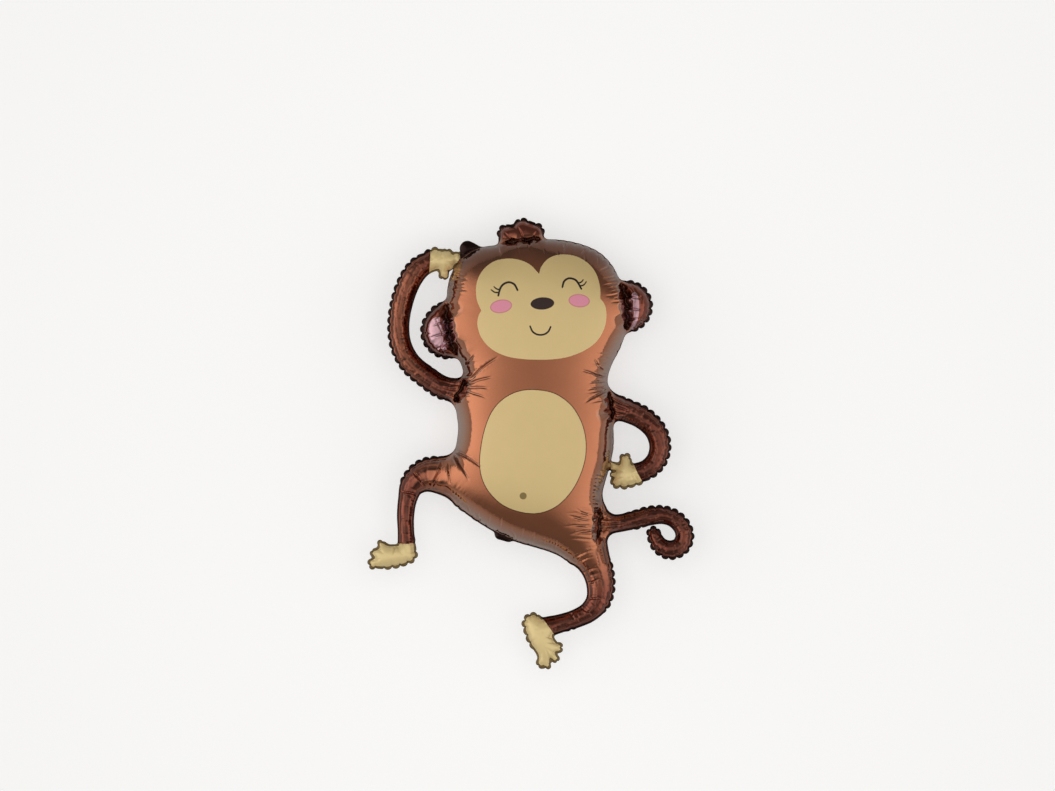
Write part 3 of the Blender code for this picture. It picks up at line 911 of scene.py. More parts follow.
    def cut(self, outline: Outline, border: Border, picture: Print) -> Sheet:
        """Divide the film along the cut edge, the seam and the edges of the print.

        Args:
            outline: the drawing.
            border: the sealed border, with its seams and cut edges.
            picture: the shapes printed on this sheet.

        Returns:
            The divided sheet, with the ink of each triangle.
        """
        loops = border.cut_edges + border.seams + [shape for _, shape in picture.shapes]
        fixed = np.vstack(loops)
        inner = thinned(np.vstack([fixed, self.points(outline, border)]), self.closest / self.unit)
        known = {tuple(spot) for spot in fixed.tolist()}
        inner = [spot for spot in inner.tolist() if tuple(spot) not in known]
        spots: list = []
        faces: list[list[int]] = []
        for loop in loops:
            turn = one_way(loop)
            faces.append([len(spots) + k for k in range(len(turn))])
            spots.extend(turn.tolist())
        spots.extend(inner)
        result = delaunay_2d_cdt(spots, [], faces, 0, 1e-5)
        corners = np.array([tuple(corner) for corner in result[0]])
        cuts = len(border.cut_edges)
        prints = cuts + len(border.seams)
        film, rim, inks, rim_inks = [], [], [], []
        for triangle, inside in zip(result[2], result[5]):
            top = max(inside, default=0)
            ink = picture.shapes[top - prints][0] if top >= prints else Ink.BARE_FOIL
            if sum(cuts <= face < prints for face in inside) % 2:
                film.append(triangle)
                inks.append(ink.value)
            elif sum(face < cuts for face in inside) % 2:
                rim.append(triangle)
                rim_inks.append((Ink.CUFF_BORDER if ink is Ink.CUFF else Ink.BORDER).value)
        film, rim, inks, rim_inks = (np.array(rows) for rows in (film, rim, inks, rim_inks))
        limb_inks = (Ink.CUFF.value, Ink.CUFF_BORDER.value, Ink.INNER_EAR.value)
        for rows, paint, bare in ((film, inks, Ink.BARE_FOIL), (rim, rim_inks, Ink.BORDER)):
            on_body = outline.body.read(corners[rows].mean(1)) < 0.5
            paint[on_body & np.isin(paint, limb_inks)] = bare.value
        on_cut, on_seam = self._edges(film, rim, len(corners))
        flaps = on_cut[rim].all(1)
        return Sheet(corners, film, rim[~flaps], inks, rim_inks[~flaps], on_cut, on_seam)

    def _edges(self, film: Array, rim: Array, count: int) -> tuple[Array, Array]:
        """Find the corners on the cut edge and those on the seam.

        Args:
            film: the film's triangles.
            rim: the border's triangles.
            count: how many corners there are.

        Returns:
            Whether each corner is on the cut edge, and on the seam.
        """
        triangles = np.vstack([film, rim])
        pairs = np.sort(np.vstack([triangles[:, [0, 1]], triangles[:, [1, 2]], triangles[:, [2, 0]]]), axis=1)
        unique, uses = np.unique(pairs, axis=0, return_counts=True)
        on_cut = np.zeros(count, bool)
        on_cut[unique[uses == 1].ravel()] = True
        in_film = np.zeros(count, bool)
        in_film[film.ravel()] = True
        in_rim = np.zeros(count, bool)
        in_rim[rim.ravel()] = True
        return on_cut, in_rim & in_film & ~on_cut


@dataclass
class Gas:
    """Swells a sheet of film, as a soap skin held at the seam and stopped by the film's stretch."""

    unit: float
    fullness_limit: float = 0.120
    valley: float = 0.38
    wall: float = 0.0120
    wave: float = 0.0011
    attached_from: float = 0.006
    pinch_core: float = 0.6
    pinch_fade: float = 5.0
    held_core: float = 0.9
    held_fade: float = 8.0
    held_from: float = 4.0
    tolerance: float = 1e-5
    most_rounds: int = 1500

    def lift(self, sheet: Sheet, outline: Outline, places: Array) -> Array:
        """Return the half thickness at each corner of a sheet.

        Args:
            sheet: the divided film.
            outline: the drawing, for the edge of the head and torso.
            places: the corners in metres.

        Returns:
            Heights above the plane of the seam, in metres.
        """
        rows, columns, weights = [], [], []
        load = np.zeros(len(places))
        for k in range(3):
            tip, left, right = (sheet.film[:, (k + turn) % 3] for turn in range(3))
            to_left, to_right = places[left] - places[tip], places[right] - places[tip]
            twice_area = np.abs(np.cross(to_left, to_right))
            weight = 0.5 * (to_left * to_right).sum(1) / np.maximum(twice_area, 1e-12)
            rows += [left, right]
            columns += [right, left]
            weights += [weight, weight]
            load += np.bincount(tip, twice_area / 6, len(places))
        skin = self._relax(np.concatenate(rows), np.concatenate(columns), np.concatenate(weights), load,
                           ~(sheet.on_seam | sheet.on_cut))
        height = np.sqrt(2 * np.maximum(skin, 0))
        height = height / (1 + (height / self.fullness_limit) ** 3) ** (1 / 3)
        return self._held_in(height * self.pinched(sheet.corners, outline), sheet.corners, outline)

    def _held_in(self, height: Array, spots: Array, outline: Outline) -> Array:
        """Keep the film beyond each root as low as a limb or lobe of its size swells.

        Args:
            height: the half thickness at each corner, in metres.
            spots: flat places in drawing units, in rows of x and y.
            outline: the drawing.

        Returns:
            The lowered half thickness.
        """
        beyond = clamp(outline.body.read(spots) / self.held_from)
        for x, y, radius, _, swell in ROOTS.values():
            gap = norms(spots - (x, y)) / radius
            reach = np.exp(-np.maximum(gap - self.held_core, 0) ** 2 * self.held_fade) * beyond
            height = height / (1 + (height * reach / swell) ** 4) ** 0.25
        return height

    def pinched(self, spots: Array, outline: Outline) -> Array:
        """Return the share of the height left by the deep valleys where limbs and lobes join the body.

        Args:
            spots: flat places in drawing units, in rows of x and y.
            outline: the drawing.

        Returns:
            The share at each spot, 1 where nothing is pinched.
        """
        x, y = spots.T
        wave = self.wave * (np.sin(0.55 * (x + y)) + 0.7 * np.sin(0.31 * (x - 2 * y)))
        body = outline.body.read(spots) * self.unit + wave
        depth = -outline.seam.read(spots) * self.unit
        attached = clamp((depth - np.abs(body)) / self.attached_from)
        share = np.ones(len(spots))
        for x, y, radius, out, _ in ROOTS.values():
            gap = norms(spots - (x, y)) / radius
            reach = np.exp(-np.maximum(gap - self.pinch_core, 0) ** 2 * self.pinch_fade) * attached
            slope = clamp(body / (out * self.unit))
            inner = np.sqrt(clamp(-body / self.wall))
            rise = np.where(body < 0, inner, slope * slope * (3 - 2 * slope))
            share = np.minimum(share, 1 - reach * (1 - self.valley) * (1 - rise))
        return share

    def _relax(self, rows: Array, columns: Array, weights: Array, load: Array,
               free: Array) -> Array:
        """Solve the skin's heights by conjugate gradients.

        Args:
            rows: one end of each link between corners.
            columns: its other end.
            weights: its stiffness.
            load: the gas's push on each corner.
            free: whether each corner may rise.

        Returns:
            The height of the skin at each corner.
        """
        size = len(load)
        inner = free[rows]
        diagonal = np.bincount(rows[inner], weights[inner], size)
        diagonal[diagonal <= 0] = 1
        both = inner & free[columns]
        rows, columns, weights = rows[both], columns[both], weights[both]
        target = np.where(free, load, 0)
        skin = np.zeros(size)
        rest = target.copy()
        scaled = rest / diagonal
        direction = scaled.copy()
        power = rest @ scaled
        goal = self.tolerance ** 2 * power
        for _ in range(self.most_rounds):
            pull = diagonal * direction - np.bincount(rows, weights * direction[columns], size)
            pull[~free] = 0
            stride = power / (direction @ pull)
            skin += stride * direction
            rest -= stride * pull
            scaled = rest / diagonal
            before, power = power, rest @ scaled
            if power < goal:
                break
            direction = scaled + power / before * direction
        return skin


def all_creases() -> list[tuple[float, ...]]:
    """List every drawn crease and every pleat of the rows, with its ends and depth.

    Returns:
        The start, end and depth in millimetres of each.
    """
    lines = [line for group in CREASES.values() for line in group]
    for x, y, last_x, last_y, run_x, run_y, count, depth in PLEATS.values():
        for number in range(int(count)):
            t = number / (count - 1)
            long = 1 - 0.35 * math.sin(2.4 * number + x)
            foot_x, foot_y = x + t * (last_x - x), y + t * (last_y - y)
            lines.append((foot_x, foot_y, foot_x + long * run_x, foot_y + long * run_y, long * depth))
    return lines


def crease_wander(along: Array, seed: float, length: float) -> Array:
    """Return how far a crease strays to the side of its straight line, in drawing units."""
    return 0.022 * length * np.sin(along * 5 + seed)


@dataclass
class Creaser:
    """Folds the swollen film: creases out of pinched corners, and the flats and kinks of the limbs."""

    unit: float
    seed: int = 7
    crease_width: float = 0.0013
    crease_depth: float = 1.7
    crease_starts: tuple[float, float] = (0.12, 0.25)
    crease_fades: tuple[float, float] = (1.08, 0.60)
    lip: float = 0.18
    lip_place: float = 2.1
    limb_clear: float = 0.002
    limb_fade: float = 0.012
    tightest: float = 12.0
    flats: int = 5
    flat_strength: float = 0.95
    section: float = 0.0450
    kink_pitch: float = 0.0190
    kink: float = 0.0009
    kink_width: float = 0.0013
    line_width: float = 0.0026
    line_depth: float = 0.0013
    dash: float = 0.0085

    def creases(self, spots: Array) -> Array:
        """Return how far the drawn creases push the film in, in metres.

        Args:
            spots: flat places in drawing units, in rows of x and y.

        Returns:
            The push at each spot, positive inwards.
        """
        width = self.crease_width / self.unit
        push = np.zeros(len(spots))
        for x, y, end_x, end_y, depth in all_creases():
            start, along = np.array([x, y]), np.array([end_x - x, end_y - y])
            length = np.linalg.norm(along)
            away = spots - start
            t = away @ along / length ** 2
            off = (away[:, 0] * along[1] - away[:, 1] * along[0]) / length
            off = off - crease_wander(t, x, length)
            fade = clamp((t + self.crease_starts[0]) / self.crease_starts[1])
            fade = fade * clamp((self.crease_fades[0] - t) / self.crease_fades[1])
            near = np.abs(off) < 5 * width
            groove = np.exp(-(off[near] / width) ** 2)
            shoulder = np.exp(-((np.abs(off[near]) - self.lip_place * width) / width) ** 2)
            push[near] += self.crease_depth * depth * 0.001 * fade[near] * (groove - self.lip * shoulder)
        return push

    def limb_folds(self, spots: Array, heights: Array, outline: Outline,
                   border: float) -> tuple[Array, Array]:
        """Work out how the flats and kinks of the limbs fold the film.

        Args:
            spots: the corners, in drawing units.
            heights: their half thickness, in metres.
            outline: the drawing.
            border: the border's width, in metres.

        Returns:
            The push along the film's normal, in metres and positive inwards, and the share of a fold's
            line at each corner.
        """
        push, lines = np.zeros(len(spots)), np.zeros(len(spots))
        clear = clamp((outline.body.read(spots) * self.unit - self.limb_clear) / self.limb_fade)
        for number, points in enumerate(LIMBS.values()):
            line = smooth_path(points, False, 12)
            tangent = np.gradient(line[:, :2], axis=0)
            tangent /= norms(tangent)[:, None]
            bend = np.cross(tangent, np.gradient(tangent, axis=0))
            length = travelled(line[:, :2])
            near = np.flatnonzero((distance_to_tube(spots, line[::4]) < 1.0) & (clear > 0))
            if not len(near):
                continue
            which = np.clip(nearest(line[:, :2], spots[near])[0], 1, len(line) - 2)
            away = spots[near] - line[which, :2]
            side = tangent[which, 0] * away[:, 1] - tangent[which, 1] * away[:, 0]
            place = (length[which] + (away * tangent[which]).sum(1)) * self.unit
            radius = np.maximum(line[which, 2] * self.unit - border, 0.002)
            turn = np.arctan2(heights[near], -side * self.unit)
            curved = np.abs(bend[which]) / np.gradient(length)[which] / self.unit
            inner = np.where(bend[which] * side > 0, 1.0, 0.0)
            curved = np.minimum(curved / self.tightest, 1)
            fold, mark = self._section(number, place, turn, radius, curved, inner)
            push[near] += clear[near] * fold
            lines[near] = np.maximum(lines[near], clear[near] * mark)
        return push, lines

    def _section(self, number: int, place: Array, turn: Array, radius: Array,
                 curved: Array, inner: Array) -> tuple[Array, Array]:
        """Flatten a tube's round section into long facets, with broken lines between and kinks across.

        Args:
            number: the limb's number, which picks its draw.
            place: the distance along the limb.
            turn: the angle round its section.
            radius: the section's radius.
            curved: how tightly the limb bends, from 0 to 1.
            inner: 1 on the inside of the bend and 0 outside.

        Returns:
            The push inwards in metres, and the share of a fold's line.
        """
        chance = np.random.default_rng(self.seed + number)
        count = int(place.max() / self.section) + 3
        edges = (np.arange(1, self.flats) + chance.uniform(-0.22, 0.22, (count, self.flats - 1))) / self.flats
        edges = math.pi * np.hstack([np.zeros((count, 1)), edges, np.ones((count, 1))])
        cell = np.clip((place / self.section).astype(int), 0, count - 2)
        mix = (place / self.section - cell)[:, None]
        bounds = edges[cell] * (1 - mix) + edges[cell + 1] * mix
        facet = np.clip((turn[:, None] > bounds[:, 1:-1]).sum(1), 0, self.flats - 1)
        row = np.arange(len(turn))
        low, high = bounds[row, facet], bounds[row, facet + 1]
        middle, half = 0.5 * (low + high), 0.5 * (high - low)
        chord = np.cos(half) / np.cos(np.clip(turn - middle, -half, half))
        push = radius * (1 - chord) * self.flat_strength
        gap = np.minimum(turn - low, high - turn) * radius
        broken = clamp(1.6 * np.sin(place / self.dash + 2.3 * facet + number) + 0.8)
        line = broken * np.exp(-(gap / self.line_width) ** 2)
        push += self.line_depth * line
        for start in np.arange(0.3 * self.kink_pitch, place.max(), self.kink_pitch):
            spot = start + chance.uniform(-0.35, 0.35) * self.kink_pitch
            centre, spread = chance.uniform(0.2, 0.8) * math.pi, chance.uniform(0.35, 0.9)
            lean = chance.uniform(-0.25, 0.25) * radius
            gap = place - spot - lean * (turn - centre)
            window = np.maximum(1 - ((turn - centre) / spread) ** 2, 0)
            push += self.kink * window * np.exp(-(gap / self.kink_width) ** 2)
            push += 1.2 * self.kink * curved * inner * np.sin(turn) * np.exp(-(gap / self.kink_width) ** 2)
        return push, line


@dataclass(frozen=True)
class Finish:
    """A finish of the film, on a Principled shader."""

    name: str
    colour: str
    metallic: float
    roughness: float
    coat: float = 0.0
    coat_roughness: float = 0.05
    coat_ior: float = 1.5
    mottle: float = 0.06
    mottle_scale: float = 0.030
    crinkle: float = 0.00010
    crinkle_scale: float = 0.0040
    roughness_swing: float = 0.05
    tints: tuple[tuple[str, str], ...] = ()

    def material(self) -> Material:
        """Build the material: a mottled colour, uneven gloss and the film's finest crinkle.

        Returns:
            The new material.
        """
        material, tree, shader = new_material(self.name, {
            "Metallic": self.metallic, "Coat Weight": self.coat, "Coat Roughness": self.coat_roughness,
            "Coat IOR": self.coat_ior,
        })
        place = add_node(tree, "ShaderNodeTexCoord").outputs["Object"]
        mottle, crinkle = (
            add_node(tree, "ShaderNodeTexNoise", {"Vector": place, "Scale": 1 / size, "Detail": detail})
            for size, detail in ((self.mottle_scale, 2.0), (self.crinkle_scale, 1.0))
        )
        red, green, blue, alpha = linear(self.colour)
        dark = [channel * (1 - self.mottle) for channel in (red, green, blue)] + [alpha]
        light = [min(1.0, channel * (1 + self.mottle)) for channel in (red, green, blue)] + [alpha]
        colour = add_node(tree, "ShaderNodeMix", {0: mottle, 6: dark, 7: light}, data_type="RGBA").outputs[2]
        # Each tint mixes in a colour by a corner attribute; on the films these tints are painted shade and a
        # painted reflection
        for trace, tint in self.tints:
            share = add_node(tree, "ShaderNodeAttribute", attribute_name=trace).outputs["Fac"]
            colour = add_node(tree, "ShaderNodeMix", {0: share, 6: colour, 7: linear(tint)},
                              data_type="RGBA").outputs[2]
        gloss = add_node(tree, "ShaderNodeMapRange", {
            "Value": mottle, "To Min": max(0.02, self.roughness - self.roughness_swing),
            "To Max": self.roughness + self.roughness_swing,
        })
        bump = add_node(tree, "ShaderNodeBump", {
            "Height": crinkle, "Strength": 1.0, "Distance": self.crinkle,
        })
        sources = {"Base Color": colour, "Roughness": gloss.outputs[0], "Normal": bump.outputs[0]}
        for name, source in sources.items():
            tree.links.new(source, shader.inputs[name])
        return material


def linear(colour: str) -> tuple[float, float, float, float]:
    """Turn an sRGB hex colour into linear light with full alpha.

    Args:
        colour: six hex digits.

    Returns:
        Red, green, blue and alpha.
    """
    channels = [int(colour[k:k + 2], 16) / 255 for k in (0, 2, 4)]
    light = [c / 12.92 if c <= 0.04045 else ((c + 0.055) / 1.055) ** 2.4 for c in channels]
    return light[0], light[1], light[2], 1.0


def placed(name: str, data: ID) -> Object:
    """Make an object of some data and link it to the scene.

    Args:
        name: the object's name.
        data: its mesh, light or camera.

    Returns:
        The new object.
    """
    made = bpy.data.objects.new(name, data)
    bpy.context.scene.collection.objects.link(made)
    return made


def new_material(name: str, constants: dict[str, object]) -> tuple[Material, NodeTree, Node]:
    """Make a material with constants on its shader.

    Args:
        name: the material's name.
        constants: the shader's inputs by name, and their values.

    Returns:
        The material, its node tree and its shader.
    """
    material = bpy.data.materials.new(name)
    material.use_nodes = True
    shader = material.node_tree.nodes["Principled BSDF"]
    for key, value in constants.items():
        shader.inputs[key].default_value = value
    return material, material.node_tree, shader


def add_node(tree: NodeTree, kind: str, inputs: dict | None = None,
             **settings: object) -> Node:
    """Add a node with its settings and inputs.

    Args:
        tree: the tree that gets the node.
        kind: the node's type name.
        inputs: what each input gets, by its name or number: a value, a socket, or a node whose first
            output feeds it.
        settings: attributes of the node itself, set before its inputs.

    Returns:
        The new node.
    """
    node = tree.nodes.new(kind)
    for name, value in settings.items():
        setattr(node, name, value)
    for key, value in (inputs or {}).items():
        source = value.outputs[0] if isinstance(value, Node) else value
        if isinstance(source, NodeSocket):
            tree.links.new(source, node.inputs[key])
        else:
            node.inputs[key].default_value = source
    return node


def add_sums(tree: NodeTree, known: dict[str, object], sums: tuple[tuple, ...]) -> None:
    """Add a Math node for each sum, and note it under its name.

    Args:
        tree: the tree that gets the nodes.
        known: nodes and sockets by name, to which the sums are added.
        sums: the name, the operation and the terms of each, a term being a known name or a number.
    """
    for name, operation, *terms in sums:
        inputs = {number: known.get(term, term) for number, term in enumerate(terms)}
        known[name] = add_node(tree, "ShaderNodeMath", inputs, operation=operation)


# Metallised polyester film under a tinted copper lacquer: mirror-like, and a clear gloss on top whose
# untinted glint greys the steep edges. Its colour also carries painted shade, deeper on the thin limbs,
# darker where the film faces the head's top or the torso's bottom, and nearly black where it is gathered
# at a root, along the limbs' fold lines and round the welded hands; a painted pale grey reflection on the
# steep sides; and painted light on the left arm, which keeps less of the limbs' painted shade.
FOIL = Finish("copper_brown_metallised_film", "D0845F", 1.0, 0.11, coat=0.34, coat_roughness=0.06,
              coat_ior=1.6, roughness_swing=0.03,
              tints=(("limb", "965240"), ("steep", "D8AE98"), ("end", "8E604C"), ("fold", "5E3A2E")))
# The sealed border's near-black colour is painted shade, standing for the dark surroundings that the flat
# film mirrors
BORDER_FOIL = Finish("heat_sealed_film_border_painted_dark", "2E1814", 1.0, 0.22, coat=0.3, crinkle=0.0002)
# Screen-printed inks on the film: satin, with a little of the metal shining through
EDGE_INK = Finish("dark_brown_print_line", "5A3020", 0.6, 0.35, coat=0.2)
CREAM_INK = Finish("cream_gold_printed_ink", "F0D496", 0.30, 0.34, coat=0.3, coat_roughness=0.2, mottle=0.02)
# The hands and feet get a lighter copy of the cream ink: painted light that makes them brighter than the face
# and belly
CUFF_INK = Finish("cream_printed_ink_painted_lighter", "FFE4A4", 0.24, 0.34, coat=0.3, coat_roughness=0.2, mottle=0.02)
CUFF_BORDER_INK = Finish("cream_gold_printed_border", "7E683E", 0.35, 0.40, coat=0.3, mottle=0.08)
CHEEK_RING_INK = Finish("dusky_rose_printed_ink", "D98C8C", 0.1, 0.45, coat=0.25, mottle=0.03)
CHEEK_INK = Finish("pink_printed_ink", "F29BB2", 0.1, 0.45, coat=0.25, mottle=0.03)
NOSE_INK = Finish("umber_printed_ink", "35211E", 0.2, 0.4, coat=0.3, mottle=0.03)
LINE_INK = Finish("black_brown_printed_ink", "1C1110", 0.1, 0.45, coat=0.2, mottle=0.02)
NAVEL_INK = Finish("olive_printed_ink", "94804E", 0.3, 0.45, coat=0.2, mottle=0.02)
# Pale pink film inside the ears; its fold tint is painted shade where the ear is gathered at its root
EAR_FOIL = Finish("pale_pink_metallised_film", "E3B4BE", 1.0, 0.10, coat=0.6, tints=(("fold", "744C58"),))

FINISHES: dict[Ink, Finish] = {
    Ink.BARE_FOIL: FOIL, Ink.BORDER: BORDER_FOIL, Ink.EDGE_LINE: EDGE_INK, Ink.CREAM: CREAM_INK,
    Ink.CHEEK_RING: CHEEK_RING_INK, Ink.CHEEK: CHEEK_INK, Ink.NOSE: NOSE_INK, Ink.LINE: LINE_INK,
    Ink.NAVEL: NAVEL_INK, Ink.INNER_EAR: EAR_FOIL, Ink.CUFF: CUFF_INK, Ink.CUFF_BORDER: CUFF_BORDER_INK,
}


@dataclass
class PuckerTree:
    """Geometry Nodes that gather the film into puckers at each notch, and fine pleats between them."""

    pucker_depth: float = 0.0015
    pucker_reach: float = 0.0110
    pucker_sharpness: float = 0.55
    pleats_per_tab: float = 3.0
    pleat_depth: float = 0.0018
    pleat_reach: float = 0.0300
    pleat_sharpness: float = 1.0
    least_share: float = 0.3
    seed: int = 4

    def sizes(self) -> dict[str, float]:
        """Return the tree's inputs by name."""
        return {
            "Pucker Depth": self.pucker_depth, "Pucker Reach": self.pucker_reach,
            "Pleats per Tab": self.pleats_per_tab, "Pleat Depth": self.pleat_depth,
            "Pleat Reach": self.pleat_reach, "Seed": float(self.seed),
        }

    def apply(self, piece: Object, foil: Material) -> Object:
        """Run the tree on a piece and return the result as a plain mesh object.

        Args:
            piece: the mesh with its seam_phase, seam_inset, bulge, slope and bare attributes.
            foil: the material set on the bare film.

        Returns:
            A new object with the same name; the old one is removed.
        """
        tree = self._tree(foil)
        modifier = piece.modifiers.new("puckers", "NODES")
        modifier.node_group = tree
        sizes = self.sizes()
        for item in tree.interface.items_tree:
            if item.item_type == "SOCKET" and item.in_out == "INPUT" and item.name in sizes:
                modifier[item.identifier] = sizes[item.name]
        bpy.context.view_layer.update()
        graph = bpy.context.evaluated_depsgraph_get()
        mesh = bpy.data.meshes.new_from_object(piece.evaluated_get(graph))
        name = piece.name
        bpy.data.objects.remove(piece)
        return placed(name, mesh)

    def _tree(self, foil: Material) -> NodeTree:
        """Build the node tree with its named inputs.

        Args:
            foil: the material set on the bare film.

        Returns:
            The tree, which ends in Realize Instances and Set Material.
        """
        tree = bpy.data.node_groups.new("film_puckers", "GeometryNodeTree")
        tree.interface.new_socket("Geometry", in_out="INPUT", socket_type="NodeSocketGeometry")
        for name in self.sizes():
            tree.interface.new_socket(name, in_out="INPUT", socket_type="NodeSocketFloat")
        tree.interface.new_socket("Geometry", in_out="OUTPUT", socket_type="NodeSocketGeometry")
        entry = add_node(tree, "NodeGroupInput")
        known: dict[str, object] = {name: entry.outputs[name] for name in self.sizes()}
        for name in ("seam_phase", "seam_inset", "bulge", "slope"):
            known[name] = add_node(tree, "GeometryNodeInputNamedAttribute", {"Name": name}, data_type="FLOAT")
        add_sums(tree, known, (("pleat_phase", "MULTIPLY", "seam_phase", "Pleats per Tab"),))
        known["Pucker"] = self._fold(tree, known, "seam_phase", "Pucker", "bulge", self.pucker_sharpness)
        known["Pleat"] = self._fold(tree, known, "pleat_phase", "Pleat", "slope", self.pleat_sharpness)
        add_sums(tree, known, (("both", "ADD", "Pucker", "Pleat"), ("push", "MULTIPLY", "both", -1.0)))
        normal = add_node(tree, "GeometryNodeInputNormal")
        offset = add_node(tree, "ShaderNodeVectorMath", {0: normal, "Scale": known["push"]},
                          operation="SCALE")
        moved = add_node(tree, "GeometryNodeSetPosition", {"Geometry": entry, "Offset": offset})
        real = add_node(tree, "GeometryNodeRealizeInstances", {"Geometry": moved})
        bare = add_node(tree, "GeometryNodeInputNamedAttribute", {"Name": "bare"}, data_type="BOOLEAN")
        done = add_node(tree, "GeometryNodeSetMaterial", {
            "Geometry": real, "Selection": bare, "Material": foil,
        })
        add_node(tree, "NodeGroupOutput", {"Geometry": done})
        return tree

    def _fold(self, tree: NodeTree, known: dict[str, object], phase: str, kind: str, where: str,
              sharpness: float) -> Node:
        """Work out a valley at each whole phase, of uneven strength, that dies out away from the seam.

        Args:
            tree: the tree that gets the nodes.
            known: the sources that the sums may use, by name.
            phase: the name of the phase that the valleys follow.
            kind: the first word of the inputs for its depth and reach.
            where: the name of the share of the fold at each place.
            sharpness: how sharp the ridges between the valleys are.

        Returns:
            The node that gives the push.
        """
        known = dict(known)
        add_sums(tree, known, (("number", "ROUND", phase), ("draw", "ADD", "number", "Seed")))
        known["chance"] = add_node(tree, "ShaderNodeTexWhiteNoise", {"W": known["draw"]},
                                   noise_dimensions="1D")
        add_sums(tree, known, (
            ("turn", "MULTIPLY", phase, math.pi), ("wave", "SINE", "turn"), ("size", "ABSOLUTE", "wave"),
            ("ridge", "POWER", "size", sharpness), ("valley", "SUBTRACT", 1.0, "ridge"),
            ("spread", "MULTIPLY", "chance", 1 - self.least_share),
            ("uneven", "ADD", "spread", self.least_share), ("reach", "MULTIPLY", kind + " Reach", "uneven"),
            ("far", "DIVIDE", "seam_inset", "reach"), ("back", "MULTIPLY", "far", -1.0),
            ("fade", "EXPONENT", "back"), ("faded", "MULTIPLY", "valley", "fade"),
            ("fold", "MULTIPLY", "faded", "uneven"), ("deep", "MULTIPLY", "fold", kind + " Depth"),
            ("push", "MULTIPLY", "deep", where),
        ))
        return known["push"]


